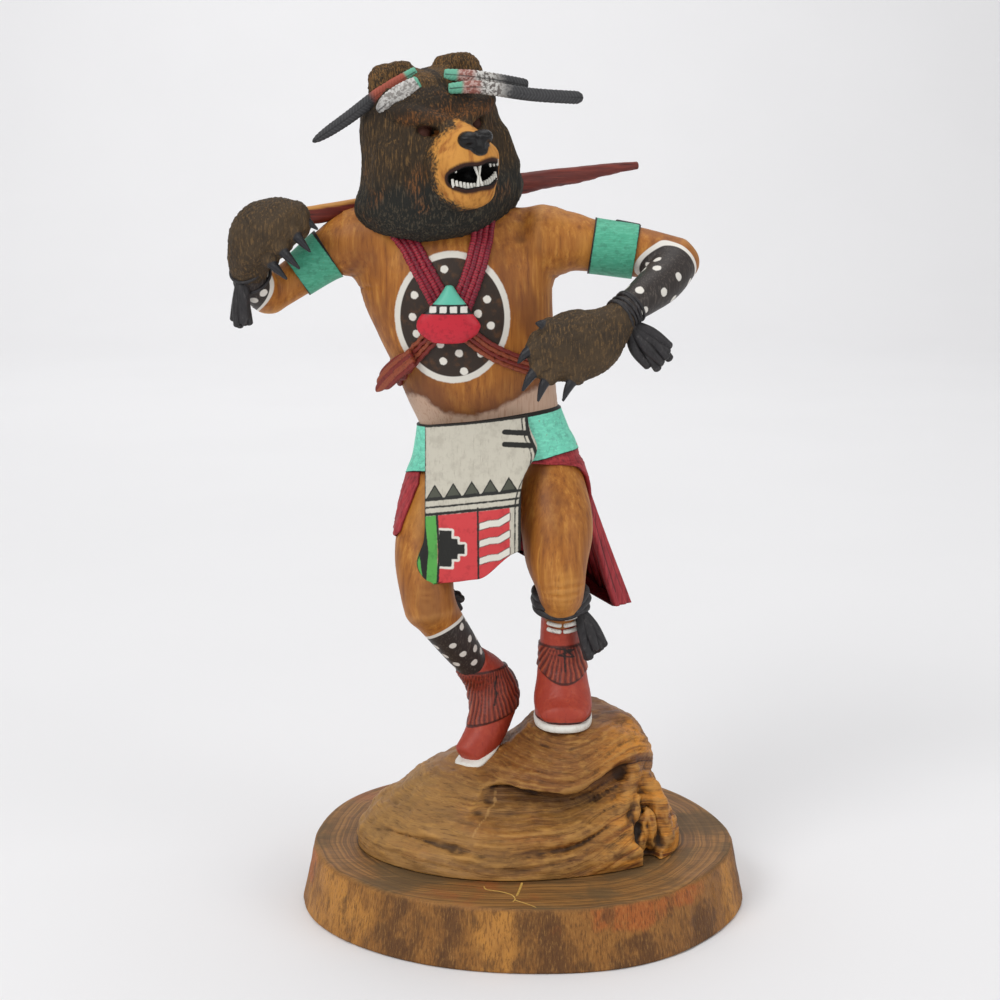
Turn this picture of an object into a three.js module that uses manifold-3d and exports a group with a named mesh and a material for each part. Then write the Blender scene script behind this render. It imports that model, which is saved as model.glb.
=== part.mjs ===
// A carved and painted kachina doll: a dancer in a bear mask, with a staff over the shoulders,
// stepping up a rock of root wood that stands on a slab of trunk.
// Millimetres. X is to the viewer's right, Y goes away from the viewer, Z is up from the slab's underside.
// "Right" and "left" in names are the dancer's own, so the right arm is at the viewer's left.
import * as THREE from "three";
import { mergeVertices } from "three/addons/utils/BufferGeometryUtils.js";
import Module from "manifold-3d";

const wasm = await Module();
wasm.setup();

// Driving sizes of the slab.
const SLAB_THICKNESS = 27;
const SLAB_TOP_RADIUS = 95;
const SLAB_FLARE = 5.5; // the bark side leans out by this much at the foot
const SLAB_UNEVENNESS = 0.014; // of the radius

// Driving sizes of the rock.
const ROCK_LENGTH = 146; // along X at its foot
const ROCK_WIDTH = 114; // along Y at its foot
const ROCK_HEIGHT = 57; // from the slab to the seat under the standing foot

// Driving sizes of the figure, its staff and its feathers.
const FIGURE_HEIGHT = 296; // standing sole to ear tip
const STAFF_LENGTH = 190;
const STAFF_HALF_HEIGHT = 4.4;
const STAFF_HALF_WIDTH = 3.2;
const FEATHER_HALF_WIDTH = 2.8;
const FEATHER_HALF_THICKNESS = 1.3;
const SOLE_THICKNESS = 3.2;
const CLOTH_THICKNESS = 3;
const BAND_RAISED = 0.9; // how far belts and armbands stand out of the limb
const BAND_THICKNESS = 1.8; // half, of the necklace's bundles of strings

const GAP = 0.3; // between pieces that rest on, or are set into, each other
const FINEST = 0.12; // no face of a carving is kept for less relief than this

// Faces round each kind of form.
const BODY_SIDES = 14;
const LIMB_SIDES = 9;
const SMALL_SIDES = 5;

const add = (a, b) => a.map((v, i) => v + b[i]);
const times = (a, k) => a.map((v) => v * k);
const minus = (a, b) => a.map((v, i) => v - b[i]);
const dot = (a, b) => a.reduce((sum, v, i) => sum + v * b[i], 0);
const cross = (a, b) => [a[1] * b[2] - a[2] * b[1], a[2] * b[0] - a[0] * b[2], a[0] * b[1] - a[1] * b[0]];
const unit = (a) => times(a, 1 / Math.hypot(...a));
const mix = (a, b, t) => a + (b - a) * t;
const smooth = (t) => t * t * (3 - 2 * t);

// The figure was proportioned at DESIGN_HEIGHT over this standing point, and grows about it.
const DESIGN_HEIGHT = 296;
const DESIGN_FOOT = [17, -12, 84.3];
const SCALE = FIGURE_HEIGHT / DESIGN_HEIGHT;
const ROCK_TOP = SLAB_THICKNESS + ROCK_HEIGHT;
const FOOT = [DESIGN_FOOT[0], DESIGN_FOOT[1], ROCK_TOP + GAP];
const place = (point) => add(FOOT, times(minus(point, DESIGN_FOOT), SCALE));
const placed = (stations) =>
  stations.map(([x, y, z, ...radii]) => [...place([x, y, z]), ...times(radii, SCALE)]);

// The mask has a frame of its own: side (viewer's right), up and forward, turned and tilted on the neck.
const HEAD_TURN = THREE.MathUtils.degToRad(26);
const HEAD_TILT = THREE.MathUtils.degToRad(8);
const HEAD_CENTRE = [-40, -2, 338];
const HEAD_FORWARD = [Math.sin(HEAD_TURN), -Math.cos(HEAD_TURN), 0];
const LEVEL_SIDE = [Math.cos(HEAD_TURN), Math.sin(HEAD_TURN), 0];
const HEAD_SIDE = add(times(LEVEL_SIDE, Math.cos(HEAD_TILT)), [0, 0, Math.sin(HEAD_TILT)]);
const HEAD_UP = add(times(LEVEL_SIDE, -Math.sin(HEAD_TILT)), [0, 0, Math.cos(HEAD_TILT)]);
const inHead = (side, up, forward) =>
  add(HEAD_CENTRE, add(times(HEAD_SIDE, side), add(times(HEAD_UP, up), times(HEAD_FORWARD, forward))));
const headStations = (stations) =>
  placed(stations.map(([side, up, forward, ...radii]) => [...inHead(side, up, forward), ...radii]));

// A closed solid from a BufferGeometry, with its seams merged.
function solid(geometry) {
  const bare = geometry.clone();
  bare.deleteAttribute("normal");
  bare.deleteAttribute("uv");
  const merged = mergeVertices(bare, 1e-4);
  return new wasm.Manifold(
    new wasm.Mesh({
      numProp: 3,
      vertProperties: merged.attributes.position.array,
      triVerts: new Uint32Array(merged.index.array),
    }),
  );
}

// Closes a stack of equal rings of points, with a fan at each end, faces out.
function closeRings(rings) {
  const sides = rings[0].length;
  const points = rings.flat();
  const centre = (ring) => times(ring.reduce(add), 1 / sides);
  const first = points.push(centre(rings[0])) - 1;
  const last = points.push(centre(rings.at(-1))) - 1;
  const faces = [];
  const top = (rings.length - 1) * sides;
  for (let j = 0; j < sides; j++) {
    const k = (j + 1) % sides;
    for (let i = 0; i < rings.length - 1; i++) {
      const [a, b, c, d] = [i * sides + j, i * sides + k, (i + 1) * sides + j, (i + 1) * sides + k];
      faces.push([a, b, c], [b, d, c]);
    }
    faces.push([first, k, j], [last, top + j, top + k]);
  }
  const volume = faces.reduce((sum, [a, b, c]) => sum + dot(points[a], cross(points[b], points[c])), 0);
  const outward = volume < 0 ? faces.map(([a, b, c]) => [a, c, b]) : faces;
  const geometry = new THREE.BufferGeometry();
  geometry.setAttribute("position", new THREE.Float32BufferAttribute(points.flat(), 3));
  geometry.setIndex(outward.flat());
  return solid(geometry);
}

// A smooth curve through rows of numbers, whatever they hold, with a few steps between rows.
function throughRows(rows, steps) {
  const row = (i) => rows[Math.min(Math.max(i, 0), rows.length - 1)];
  const out = [];
  for (let i = 0; i < rows.length - 1; i++) {
    for (let s = 0; s < steps; s++) {
      const t = s / steps;
      out.push(
        row(i).map((p, k) => {
          const [before, q, after] = [row(i - 1)[k], row(i + 1)[k], row(i + 2)[k]];
          const squared = 2 * before - 5 * p + 4 * q - after;
          const cubed = 3 * p - before - 3 * q + after;
          return (2 * p + (q - before) * t + squared * t ** 2 + cubed * t ** 3) / 2;
        }),
      );
    }
  }
  out.push(rows.at(-1));
  return out;
}

// A limb: ellipses [x, y, z, half width, half depth] along a curve, with rounded ends.
// The half depth lies along `front`, as far as the curve lets it.
function limb(stations, options = {}) {
  const { sides = LIMB_SIDES, steps = 1, front = [0, -1, 0], start = 0.7, end = 0.7, grow = 0 } = options;
  const rows = throughRows(stations, steps);
  const rings = rows.map(([x, y, z, width, depth], i) => {
    const [before, after] = [rows[Math.max(i - 1, 0)], rows[Math.min(i + 1, rows.length - 1)]];
    const along = unit(minus(after.slice(0, 3), before.slice(0, 3)));
    const deep = unit(minus(front, times(along, dot(front, along))));
    return { at: [x, y, z], along, deep, wide: cross(deep, along), width: width + grow, depth: depth + grow };
  });
  const ring = ({ at, wide, deep, width, depth }, shrink = 1, shift = [0, 0, 0]) =>
    Array.from({ length: sides }, (_, j) => {
      const angle = (2 * Math.PI * j) / sides;
      const across = add(times(wide, Math.cos(angle) * width), times(deep, Math.sin(angle) * depth));
      return add(add(at, shift), times(across, shrink));
    });
  const cap = (r, way, share) => {
    const reach = share * Math.min(r.width, r.depth);
    const layers = sides > LIMB_SIDES ? [0.5, 0.9] : [0.7];
    return layers.map((t) => ring(r, Math.sqrt(1 - t * t), times(r.along, way * reach * t)));
  };
  return closeRings([
    ...(start ? cap(rings[0], -1, start).reverse() : []),
    ...rings.map((r) => ring(r)),
    ...(end ? cap(rings.at(-1), 1, end) : []),
  ]);
}

// A curved panel: front(u, v) is its face, and the back lies a thickness behind along `inward`(u, v).
function panel(front, inward, across, down, thickness) {
  const face = (offset) =>
    Array.from({ length: down + 1 }, (_, j) =>
      Array.from({ length: across + 1 }, (_, i) => {
        const [u, v] = [i / across, j / down];
        return add(front(u, v), times(inward(u, v), offset));
      }),
    );
  const [outer, inner] = [face(0), face(thickness)];
  return closeRings(outer.map((row, j) => [...row, ...inner[j].reverse()]));
}

const join = (solids) => solids.reduce((all, one) => all.add(one));

// The slab of trunk: nearly round, its bark side leaning out to the foot.
function slab() {
  const sides = 40;
  const outline = (radius, z) =>
    Array.from({ length: sides }, (_, j) => {
      const a = (2 * Math.PI * j) / sides;
      const uneven = Math.cos(2 * a + 0.4) + 0.7 * Math.cos(3 * a + 2.1) + 0.5 * Math.cos(5 * a);
      const r = radius * (1 + SLAB_UNEVENNESS * uneven);
      return [r * Math.cos(a), r * Math.sin(a), z];
    });
  const edge = 1.2; // the worn arris at top and foot
  return closeRings([
    outline(SLAB_TOP_RADIUS + SLAB_FLARE - edge, 0),
    outline(SLAB_TOP_RADIUS + SLAB_FLARE, edge),
    outline(SLAB_TOP_RADIUS + SLAB_FLARE * 0.55, SLAB_THICKNESS * 0.55),
    outline(SLAB_TOP_RADIUS, SLAB_THICKNESS - edge),
    outline(SLAB_TOP_RADIUS - edge, SLAB_THICKNESS),
  ]);
}

// One part of the rock: outlines at rising heights, as shares of the rock's length, width and height.
// Each level is [height, middle X, middle Y, half length, half width].
function boulder(levels, sides, wave) {
  const rings = throughRows(levels, 1).map(([height, x, y, length, width], i) =>
    Array.from({ length: sides }, (_, j) => {
      const a = (2 * Math.PI * j) / sides;
      const uneven = 1 + wave * (Math.cos(3 * a + 1 + i * 0.15) + 0.6 * Math.cos(5 * a + 2.3));
      return [
        ROCK_LENGTH * (x + length * Math.cos(a) * uneven),
        ROCK_WIDTH * (y + width * Math.sin(a) * uneven),
        SLAB_THICKNESS + GAP + ROCK_HEIGHT * height,
      ];
    }),
  );
  return closeRings(rings);
}

// The rock: a long low tongue in layers, with a stepped block on it that overhangs, and a knot hole.
function rock(figureFeet) {
  const tongue = boulder(
    [
      [0, -0.02, -0.05, 0.5, 0.5],
      [0.14, -0.022, -0.05, 0.495, 0.49],
      [0.2, -0.015, -0.04, 0.48, 0.46],
      [0.32, -0.005, -0.03, 0.45, 0.44],
      [0.38, 0.005, -0.02, 0.42, 0.41],
      [0.5, 0.01, 0, 0.36, 0.37],
      [0.6, 0, 0.02, 0.28, 0.3],
      [0.66, -0.03, 0.03, 0.17, 0.2],
    ],
    26,
    0.018,
  );
  const block = boulder(
    [
      [0.2, 0.16, -0.02, 0.27, 0.36],
      [0.42, 0.16, -0.03, 0.262, 0.34],
      [0.5, 0.145, -0.03, 0.255, 0.335],
      [0.58, 0.125, -0.02, 0.27, 0.37],
      [0.66, 0.13, -0.015, 0.263, 0.36],
      [0.8, 0.17, -0.015, 0.22, 0.34],
      [0.9, 0.18, -0.01, 0.185, 0.31],
      [0.98, 0.175, -0.01, 0.14, 0.28],
      [1.03, 0.17, -0.01, 0.08, 0.2],
    ],
    22,
    0.02,
  );
  // The tongue swells up under the toes, wherever the figure puts them.
  const [toeX, toeY, toeZ] = place([-27, -13, 62.5]);
  const foot = SLAB_THICKNESS + GAP;
  const swell = limb(
    [
      [toeX - 18, toeY + 8, foot + 8, 12, 14],
      [toeX, toeY + 8, toeZ - 15, 17, 24],
      [toeX + 20, toeY + 8, toeZ - 12, 17, 26],
    ],
    { sides: 14 },
  );
  const knot = new THREE.SphereGeometry(1, 12, 8);
  knot.scale(5.5, 12, 13);
  knot.rotateZ(-0.9);
  knot.translate(ROCK_LENGTH * 0.39, -ROCK_WIDTH * 0.31, SLAB_THICKNESS + ROCK_HEIGHT * 0.33);
  const lip = limb(
    [
      [ROCK_LENGTH * 0.43, -ROCK_WIDTH * 0.24, foot + 5, 5, 6],
      [ROCK_LENGTH * 0.42, -ROCK_WIDTH * 0.22, foot + 16, 5.5, 6],
      [ROCK_LENGTH * 0.39, -ROCK_WIDTH * 0.2, foot + 26, 4, 5],
    ],
    { sides: 10, start: 0.6 },
  );
  const under = new THREE.BoxGeometry(ROCK_LENGTH * 2, ROCK_WIDTH * 2, 60).translate(0, 0, foot - 30);
  const cuts = [solid(knot), solid(under), figureFeet];
  return cuts.reduce((body, cut) => body.subtract(cut), join([tongue, block, swell, lip]));
}

// Torso, from the hips to the raised shoulders and the neck.
const TORSO = [
  [-14, 0, 194, 31, 21],
  [-15, 0, 210, 32, 22],
  [-16, 0, 223, 31, 20],
  [-20, -1, 240, 34, 21.5],
  [-23.6, -1, 256, 37, 22.5],
  [-27, -1, 270, 40, 23],
  [-30, 0, 284, 43, 22],
  [-30.5, 1, 296, 44.5, 19],
  [-30, 1, 305, 43, 15],
  [-30, 1, 310.5, 37, 9.5],
];
const NECK = [
  [-33, 1, 300, 16, 14],
  [-37, 0, 320, 15, 14],
];

const RIGHT_ARM = [
  [-62, 0, 300, 15, 14],
  [-75, 0, 298.5, 14, 13],
  [-86, -1, 293.5, 10.9, 11],
  [-100, -3, 283.5, 8.8, 9.4],
  [-112, -6, 276, 8.4, 9],
];
const RIGHT_FOREARM = [
  [-112.5, -5, 276, 8.6, 8.8],
  [-116.5, -14, 281, 8.6, 8.6],
  [-119, -22, 287.5, 7, 7],
];
const LEFT_ARM = [
  [8, 0, 299, 15, 14],
  [20, -1, 298.5, 13, 13],
  [29, -1, 297, 11.4, 11.6],
  [47, -2, 294.5, 11, 11.2],
  [66.5, -4, 291, 9.6, 10],
];
const LEFT_FOREARM = [
  [67, -5, 290.5, 9.2, 9.6],
  [59, -19, 283, 9.4, 9.4],
  [50, -30, 277, 8, 8],
  [41.5, -38, 271.5, 6.2, 6.2],
];

const RIGHT_THIGH = [
  [-34, 0, 204, 15, 17],
  [-38, -6, 192, 15.5, 17],
  [-43, -15, 176, 14, 16],
  [-44.5, -22, 162, 12.8, 14.5],
  [-43, -28, 148, 11.8, 13],
  [-42, -29, 140.5, 11, 12],
];
const RIGHT_CALF = [
  [-41, -27, 140, 10.5, 11],
  [-36, -22, 131.5, 9.6, 9.8],
  [-29, -13, 119, 8.4, 8.6],
  [-22.5, -5, 107.5, 6.9, 7],
];
const LEFT_THIGH = [
  [7, 2, 205, 15, 17],
  [11, -6, 192, 15.5, 17.5],
  [14, -17, 176, 16, 17],
  [14, -23, 162, 14, 15],
  [15.5, -27, 151, 11, 12.5],
  [16, -25, 143, 9.4, 10.5],
];
const LEFT_CALF = [
  [16, -20, 142, 9, 9.5],
  [16, -13, 131, 7.6, 8.4],
];

// The boot on tiptoe, from its top down to the ball of the foot and the toes.
const RIGHT_BOOT = [
  [-23, -5, 109, 8.2, 8.4],
  [-17.5, 1, 101.5, 10, 10.4],
  [-14, 2, 93, 11.4, 11.5],
  [-15, -2, 84, 10, 11],
  [-19, -7, 75, 9, 9.6],
  [-24.5, -13, 67.4, 7.6, 6.2],
];
// The planted boot: a shaft, then a foot that points at the viewer.
const LEFT_BOOT_SHAFT = [
  [16, -12, 134, 7.6, 8.4],
  [16, -10, 122, 9, 9.8],
  [16.8, -8, 108, 10.2, 11.2],
  [17, -8, 94, 11.2, 12.6],
];
const LEFT_FOOT = [
  [17, 4, 95, 9, 8],
  [17, -8, 95.5, 11, 9],
  [17.5, -19, 93.5, 12.2, 7.4],
  [17.5, -28, 91.5, 10.4, 4.8],
];

// A paw and its claws. A claw is [root x, y, z, tip x, y, z].
const RIGHT_PAW = [
  [-119, -20, 285, 7.4, 7.2],
  [-117.5, -24, 294, 10, 9.4],
  [-113, -26, 302.5, 13, 11.4],
  [-105, -26, 307.5, 12, 11],
  [-97.5, -24, 309, 8.4, 9],
];
const RIGHT_CLAWS = [
  [-99, -31, 306, -91, -35, 296.5],
  [-105, -32, 299.5, -95.5, -36, 289.5],
  [-96.5, -27, 312, -88.5, -27, 305.5],
  [-110, -30, 294, -101, -35, 285],
];
const LEFT_PAW = [
  [41.5, -38, 271.5, 6.2, 6.4],
  [36, -40, 265.5, 9.6, 7],
  [28, -42, 260, 14, 8],
  [18, -43.5, 257, 15, 8],
  [9, -44, 256, 12, 7],
  [4, -44, 256, 8, 5.6],
];
const LEFT_CLAWS = [
  [10, -46, 266, 4, -47, 267.5],
  [4, -46, 258, -3.5, -49, 251],
  [6, -46, 250, -1.5, -50, 239.5],
  [10.5, -46, 247, 5, -49, 235],
  [22, -45, 246.5, 15.5, -48, 235],
];

// The mask: a broad head with a ruff, on its own frame [side, up, forward, half width, half depth].
const MASK = [
  [0, -33, 2, 24, 20],
  [0, -29, 2, 33, 25],
  [0, -20, 1, 38.5, 27.5],
  [0, -9, 0, 34, 27],
  [0, 0, 0, 32, 26.5],
  [0, 12, 0, 31, 26],
  [0, 21, 0, 28.5, 23.5],
  [0, 28, 0, 22, 18],
];
const MUZZLE = [
  [-0.5, -6.5, 12, 17, 19],
  [-1, -7.5, 26, 16, 18.5],
  [-1, -8, 36, 14.6, 17],
  [-1, -8, 42, 11.5, 13.5],
];
// An ear and the cup in its front, without the side: both ears are alike.
const EAR = [
  [21, 2, 8, 5.4],
  [28.5, 2, 10.6, 5.6],
  [34.5, 1.5, 9.6, 4.8],
  [38.5, 1, 6, 3.2],
];
const EAR_CUP = [
  [29, 8.5, 5.6, 3.4],
  [35, 8, 4.4, 3],
];
const EAR_SPREAD = 16;

function mask() {
  const head = limb(headStations(MASK), { sides: 18, front: HEAD_FORWARD, end: 0.35, start: 0.2 });
  const muzzle = limb(headStations(MUZZLE), { sides: BODY_SIDES, front: HEAD_UP, start: 0, end: 0.5 });
  const brow = limb(
    headStations([
      [-22, 13, 17, 4, 5],
      [-10, 15, 24, 4.5, 4.5],
      [0, 14, 26, 4.5, 4.5],
      [10, 15, 24, 4.5, 4.5],
      [22, 13, 17, 4, 5],
    ]),
    { sides: SMALL_SIDES, front: HEAD_FORWARD },
  );
  const nostrils = [-4.5, 3].map((side) => [side, 4, 43, 4.4, 4.6]);
  const nose = limb(headStations(nostrils), { sides: 8, front: HEAD_UP });
  const mouth = limb(
    headStations([
      [-12, -12, 43, 2.6, 14],
      [-6.5, -12, 46, 4.6, 12],
      [-1, -12, 47, 4.8, 12],
      [4.5, -12, 46, 4.6, 12],
      [10, -12, 43, 2.6, 14],
    ]),
    { sides: 8, front: HEAD_FORWARD },
  );
  const ears = [-1, 1].map((way) => {
    const onItsSide = (rows) => headStations(rows.map((row) => [way * EAR_SPREAD, ...row]));
    const cup = limb(onItsSide(EAR_CUP), { sides: SMALL_SIDES, front: HEAD_FORWARD });
    return limb(onItsSide(EAR), { front: HEAD_FORWARD, start: 0, end: 0.6 }).subtract(cup);
  });
  return join([head, muzzle, brow, nose, ...ears]).subtract(mouth);
}

// A claw, from a thick root to a fine tip.
const claw = ([x, y, z, tipX, tipY, tipZ]) =>
  limb(
    placed([
      [x, y, z, 2.3, 2.3],
      [mix(x, tipX, 0.5) - 0.6, mix(y, tipY, 0.5) - 0.8, mix(z, tipZ, 0.5), 1.7, 1.7],
      [tipX, tipY, tipZ, 0.5, 0.5],
    ]),
    { sides: SMALL_SIDES, start: 0, end: 1 },
  );

// A part of a limb's stations, from share `a` to share `b` of their length, raised by `grow`.
function bandOn(stations, a, b, grow, options = {}) {
  const rows = throughRows(placed(stations), 8);
  const last = rows.length - 1;
  const cut = [0, 0.5, 1].map((t) => rows[Math.round(last * mix(a, b, t))]);
  return limb(cut, { steps: 1, start: 0, end: 0, grow, ...options });
}

const BELT = [
  [-13, 0, 202.5, 37, 25],
  [-14.2, 0, 212, 34.5, 23.6],
  [-15.5, 0, 222, 31.6, 21.4],
];

// The white sash flap: from the belt down over the thighs, wavy at its left edge.
function flap() {
  const left = (v) => mix(-43.6, -43.4, v) - 3.6 * Math.exp(-(((v - 0.85) / 0.1) ** 2));
  const flare = (v) => 2.8 * Math.exp(-(((v - 0.27) / 0.15) ** 2));
  const right = (v) => -0.5 + flare(v) - 3.4 * smooth(Math.min(v / 0.55, 1));
  const face = (u, v) => {
    const x = mix(left(v), right(v), u);
    const rise = (x + 23) * 0.14;
    const curve = ((x + 22) / 22) ** 2;
    const y = -27.5 - 13 * smooth(Math.min(v / 0.75, 1)) + mix(4, 1.5, v) * curve;
    return place([x, y, mix(220.5, 156, v) + rise]);
  };
  return panel(face, () => [0, 1, 0], 6, 8, CLOTH_THICKNESS);
}

// The red kilt cloth behind the legs, from hip to hip, flaring and blown to the viewer's right.
function backCloth() {
  const angle = (u) => mix(3.45, -0.42, u);
  const outer = (u, v) => {
    const a = angle(u);
    const fold = 1 + 0.05 * Math.sin(9 * a + 0.6) * smooth(v);
    const x = mix(-13, -4, v) + mix(36, 51, v ** 1.3) * Math.cos(a) * fold;
    const y = mix(0, 12, v) + mix(24.5, 27, v) * Math.sin(a) * fold;
    const hem = 161 - 29 * smooth(Math.max(Math.cos(a), 0)) + 3 * smooth(Math.max(-Math.cos(a), 0));
    return place([x, y, mix(206 + 4.5 * Math.cos(a), hem, v)]);
  };
  const inward = (u) => unit([-Math.cos(angle(u)), -Math.sin(angle(u)) * 1.4, 0]);
  return panel(outer, inward, 16, 4, CLOTH_THICKNESS * 0.85);
}

// Bands of strings that cross on the chest, and run on down to the sides and round to the shoulders.
const LEFT_OF_NECK = [
  [-57, -12, 309],
  [-51, -22, 300],
  [-43, -26.5, 285],
  [-35, -27.5, 271],
];
const RIGHT_OF_NECK = [
  [-17, -13, 314],
  [-18, -21, 304],
  [-22, -26, 288],
  [-28, -27.5, 272],
];
const TO_LEFT_HIP = [
  [-27, -28, 262],
  [-16, -26.5, 254],
  [-5, -22, 248.5],
  [8, -10, 243.5],
  [14, 3, 244],
  [0, 19, 258],
  [-18, 24, 280],
  [-40, 20, 302],
];
const TO_RIGHT_SIDE = [
  [-38, -26, 262],
  [-48, -21.5, 251.5],
  [-60, -9, 238.5],
  [-59, 6, 243],
  [-42, 20, 256],
  [-18, 23, 280],
  [-2, 16, 302],
];
const band = (path, width) =>
  limb(placed(path.map((point) => [...point, width, BAND_THICKNESS])), { sides: SMALL_SIDES });

function pendant() {
  const rows = [
    [-31.5, -26.5, 281, 2.6, 3],
    [-31.5, -27, 277, 5.6, 3.4],
    [-31.5, -27.5, 272.5, 9, 3.6],
    [-32, -27.5, 266, 13.6, 3.8],
    [-32, -27.5, 260.5, 13.2, 3.6],
    [-32, -27, 256.5, 8.6, 3],
  ];
  return limb(placed(rows), { sides: LIMB_SIDES, steps: 1, end: 0.4, start: 0.4 });
}

// A hanging tassel: three soft lobes from a knot.
function tassel(knot, tips, thick) {
  const lobes = tips.map((tip) =>
    limb(
      placed([
        [...knot, thick * 0.6, thick * 0.6],
        [...knot.map((v, i) => mix(v, tip[i], 0.6)), thick, thick],
        [...tip, thick * 0.8, thick * 0.8],
      ]),
      { sides: SMALL_SIDES },
    ),
  );
  return join(lobes);
}

// A tied cord below the left knee, lower in front.
function kneeTie() {
  const ring = new THREE.TorusGeometry(10.6 * SCALE, 3 * SCALE, 6, 16);
  ring.scale(1, 1.05, 1.25);
  ring.rotateX(0.28);
  ring.translate(...place([15.8, -19.5, 142.5]));
  return solid(ring);
}

// The planted boot's sole: a foot outline with round heel and toe.
const soleOutline = (grow) => {
  const shape = new THREE.Shape();
  const half = (11.6 + grow) * SCALE;
  const [toe, heel] = [17.5 * SCALE, (12 + grow) * SCALE];
  shape.absellipse(0, -toe, half, half * 0.86, Math.PI, 2 * Math.PI, false);
  shape.absellipse(0, 10 * SCALE, half * 0.8, heel * 0.8, 0, Math.PI, false);
  return shape;
};
const [SOLE_X, SOLE_Y] = place([17.4, -4.5, 0]);
function leftSole(grow = 0, down = 0) {
  const options = { depth: SOLE_THICKNESS + down, bevelEnabled: false, curveSegments: 6 };
  const geometry = new THREE.ExtrudeGeometry(soleOutline(grow), options);
  geometry.translate(SOLE_X, SOLE_Y, FOOT[2] - down);
  return solid(geometry);
}
const RIGHT_SOLE = [
  [-8, 10, 87, 6.4, 2.6],
  [-13, 3, 78.5, 7.4, 2.4],
  [-19.5, -6, 69.4, 8.8, 2.4],
  [-25.5, -14, 63.6, 9, 2.2],
  [-28.5, -18, 61.4, 6.6, 1.8],
];
const rightSole = (grow = 0) => limb(placed(RIGHT_SOLE), { front: [-0.5, -0.4, 0.8], start: 0.4, grow });

function legs() {
  return [
    limb(placed(RIGHT_THIGH), { start: 0 }),
    limb(placed(RIGHT_CALF), { end: 0 }),
    limb(placed(LEFT_THIGH), { start: 0 }),
    limb(placed(LEFT_CALF), { end: 0 }),
    limb(placed(RIGHT_BOOT)),
    limb(placed(LEFT_BOOT_SHAFT), { end: 0 }),
    limb(placed(LEFT_FOOT), { front: [0, 0, 1] }),
    bandOn(RIGHT_BOOT, 0.02, 0.5, BAND_RAISED),
    bandOn(LEFT_BOOT_SHAFT, 0.22, 0.76, BAND_RAISED),
    leftSole(),
    rightSole(),
    kneeTie(),
    tassel([24, -22, 139], [[29, -22, 121], [33.5, -20, 123]], 4),
    tassel([-31, -17, 147], [[-28.5, -16, 142], [-30, -14, 149.5]], 3.4),
  ];
}

function arms() {
  return [
    limb(placed(RIGHT_ARM), { start: 0 }),
    limb(placed(RIGHT_FOREARM), { end: 0 }),
    limb(placed(LEFT_ARM), { start: 0 }),
    limb(placed(LEFT_FOREARM), { end: 0 }),
    bandOn(RIGHT_ARM, 0.5, 0.76, BAND_RAISED),
    bandOn(LEFT_ARM, 0.49, 0.78, BAND_RAISED),
    limb(placed([[40, -2, 306.4, 1.6, 1.4], [49.5, -2, 304.6, 1.6, 1.4]]), { sides: SMALL_SIDES }),
    limb(placed(RIGHT_PAW), { start: 0 }),
    limb(placed(LEFT_PAW), { start: 0 }),
    ...RIGHT_CLAWS.map(claw),
    ...LEFT_CLAWS.map(claw),
    tassel([-122, -24, 286], [[-124.5, -24, 266], [-120, -25, 266.5]], 3.8),
    tassel([43, -37, 265], [[60, -37, 253], [54.5, -37, 246]], 4.6),
  ];
}

function dress() {
  return [
    limb(placed(BELT), { sides: BODY_SIDES, start: 0, end: 0, grow: BAND_RAISED }),
    flap(),
    backCloth(),
    pendant(),
    band(LEFT_OF_NECK, 5.4),
    band(RIGHT_OF_NECK, 5.4),
    band(TO_LEFT_HIP, 3.4),
    band(TO_RIGHT_SIDE, 3.4),
  ];
}

function figure(cuts) {
  const torso = limb(placed(TORSO), { sides: BODY_SIDES, end: 0.4 });
  const neck = limb(placed(NECK), { start: 0, end: 0 });
  const whole = join([torso, neck, mask(), ...legs(), ...arms(), ...dress()]);
  return cuts.reduce((body, cut) => body.subtract(cut), whole);
}

// The staff runs through the right paw, behind the mask and out past the left shoulder to a point.
const STAFF_IN_PAW = place([-106, -10, 308.5]);
const STAFF_AWAY = unit([157, 72, 21.5]);
function staff(grow = 0) {
  const at = (along) => add(STAFF_IN_PAW, times(STAFF_AWAY, along));
  const butt = -14 * SCALE;
  const end = butt + STAFF_LENGTH;
  const [width, height] = [STAFF_HALF_WIDTH, STAFF_HALF_HEIGHT];
  const rows = [
    [...at(butt), width * 0.8, height * 0.8],
    [...at(mix(butt, end, 0.25)), width, height],
    [...at(mix(butt, end, 0.62)), width, height * 1.1],
    [...at(mix(butt, end, 0.85)), width * 0.8, height * 0.8],
    [...at(end), width * 0.45, height * 0.42],
  ];
  return limb(rows, { front: [0, 0, 1], grow, start: 0.5, end: 0.5, sides: 10 });
}

// Feathers set into the mask in front of the ears, from root to tip.
const FEATHERS = {
  feather_right_long: [[-47, -14, 371], [-61, -18.5, 362.5], [-75, -21, 352], [-90.5, -20, 341.8]],
  feather_right_short: [[-43, -21, 367], [-49, -25.5, 361.5], [-54, -27, 356.5], [-59, -26.5, 351.5]],
  feather_left_upper: [[-34, -17, 370], [-23, -18, 369], [-11, -15, 367.4], [1, -8, 365.3]],
  feather_left_lower: [[-32, -22, 364], [-19, -24, 364.5], [2, -17, 361.6], [24.7, -6, 360.3]],
};
const FEATHER_WIDTHS = {
  feather_right_long: 1,
  feather_right_short: 1.5,
  feather_left_upper: 1,
  feather_left_lower: 1,
};
function feather(name, grow = 0) {
  const path = FEATHERS[name];
  const rows = path.map((point, i) => {
    const share = [0.7, 1, 1, 0.75][i] * FEATHER_WIDTHS[name];
    return [...place(point), FEATHER_HALF_WIDTH * share, FEATHER_HALF_THICKNESS];
  });
  return limb(rows, { front: HEAD_FORWARD, sides: 6, grow, start: 0.6, end: 0.9 });
}

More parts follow.
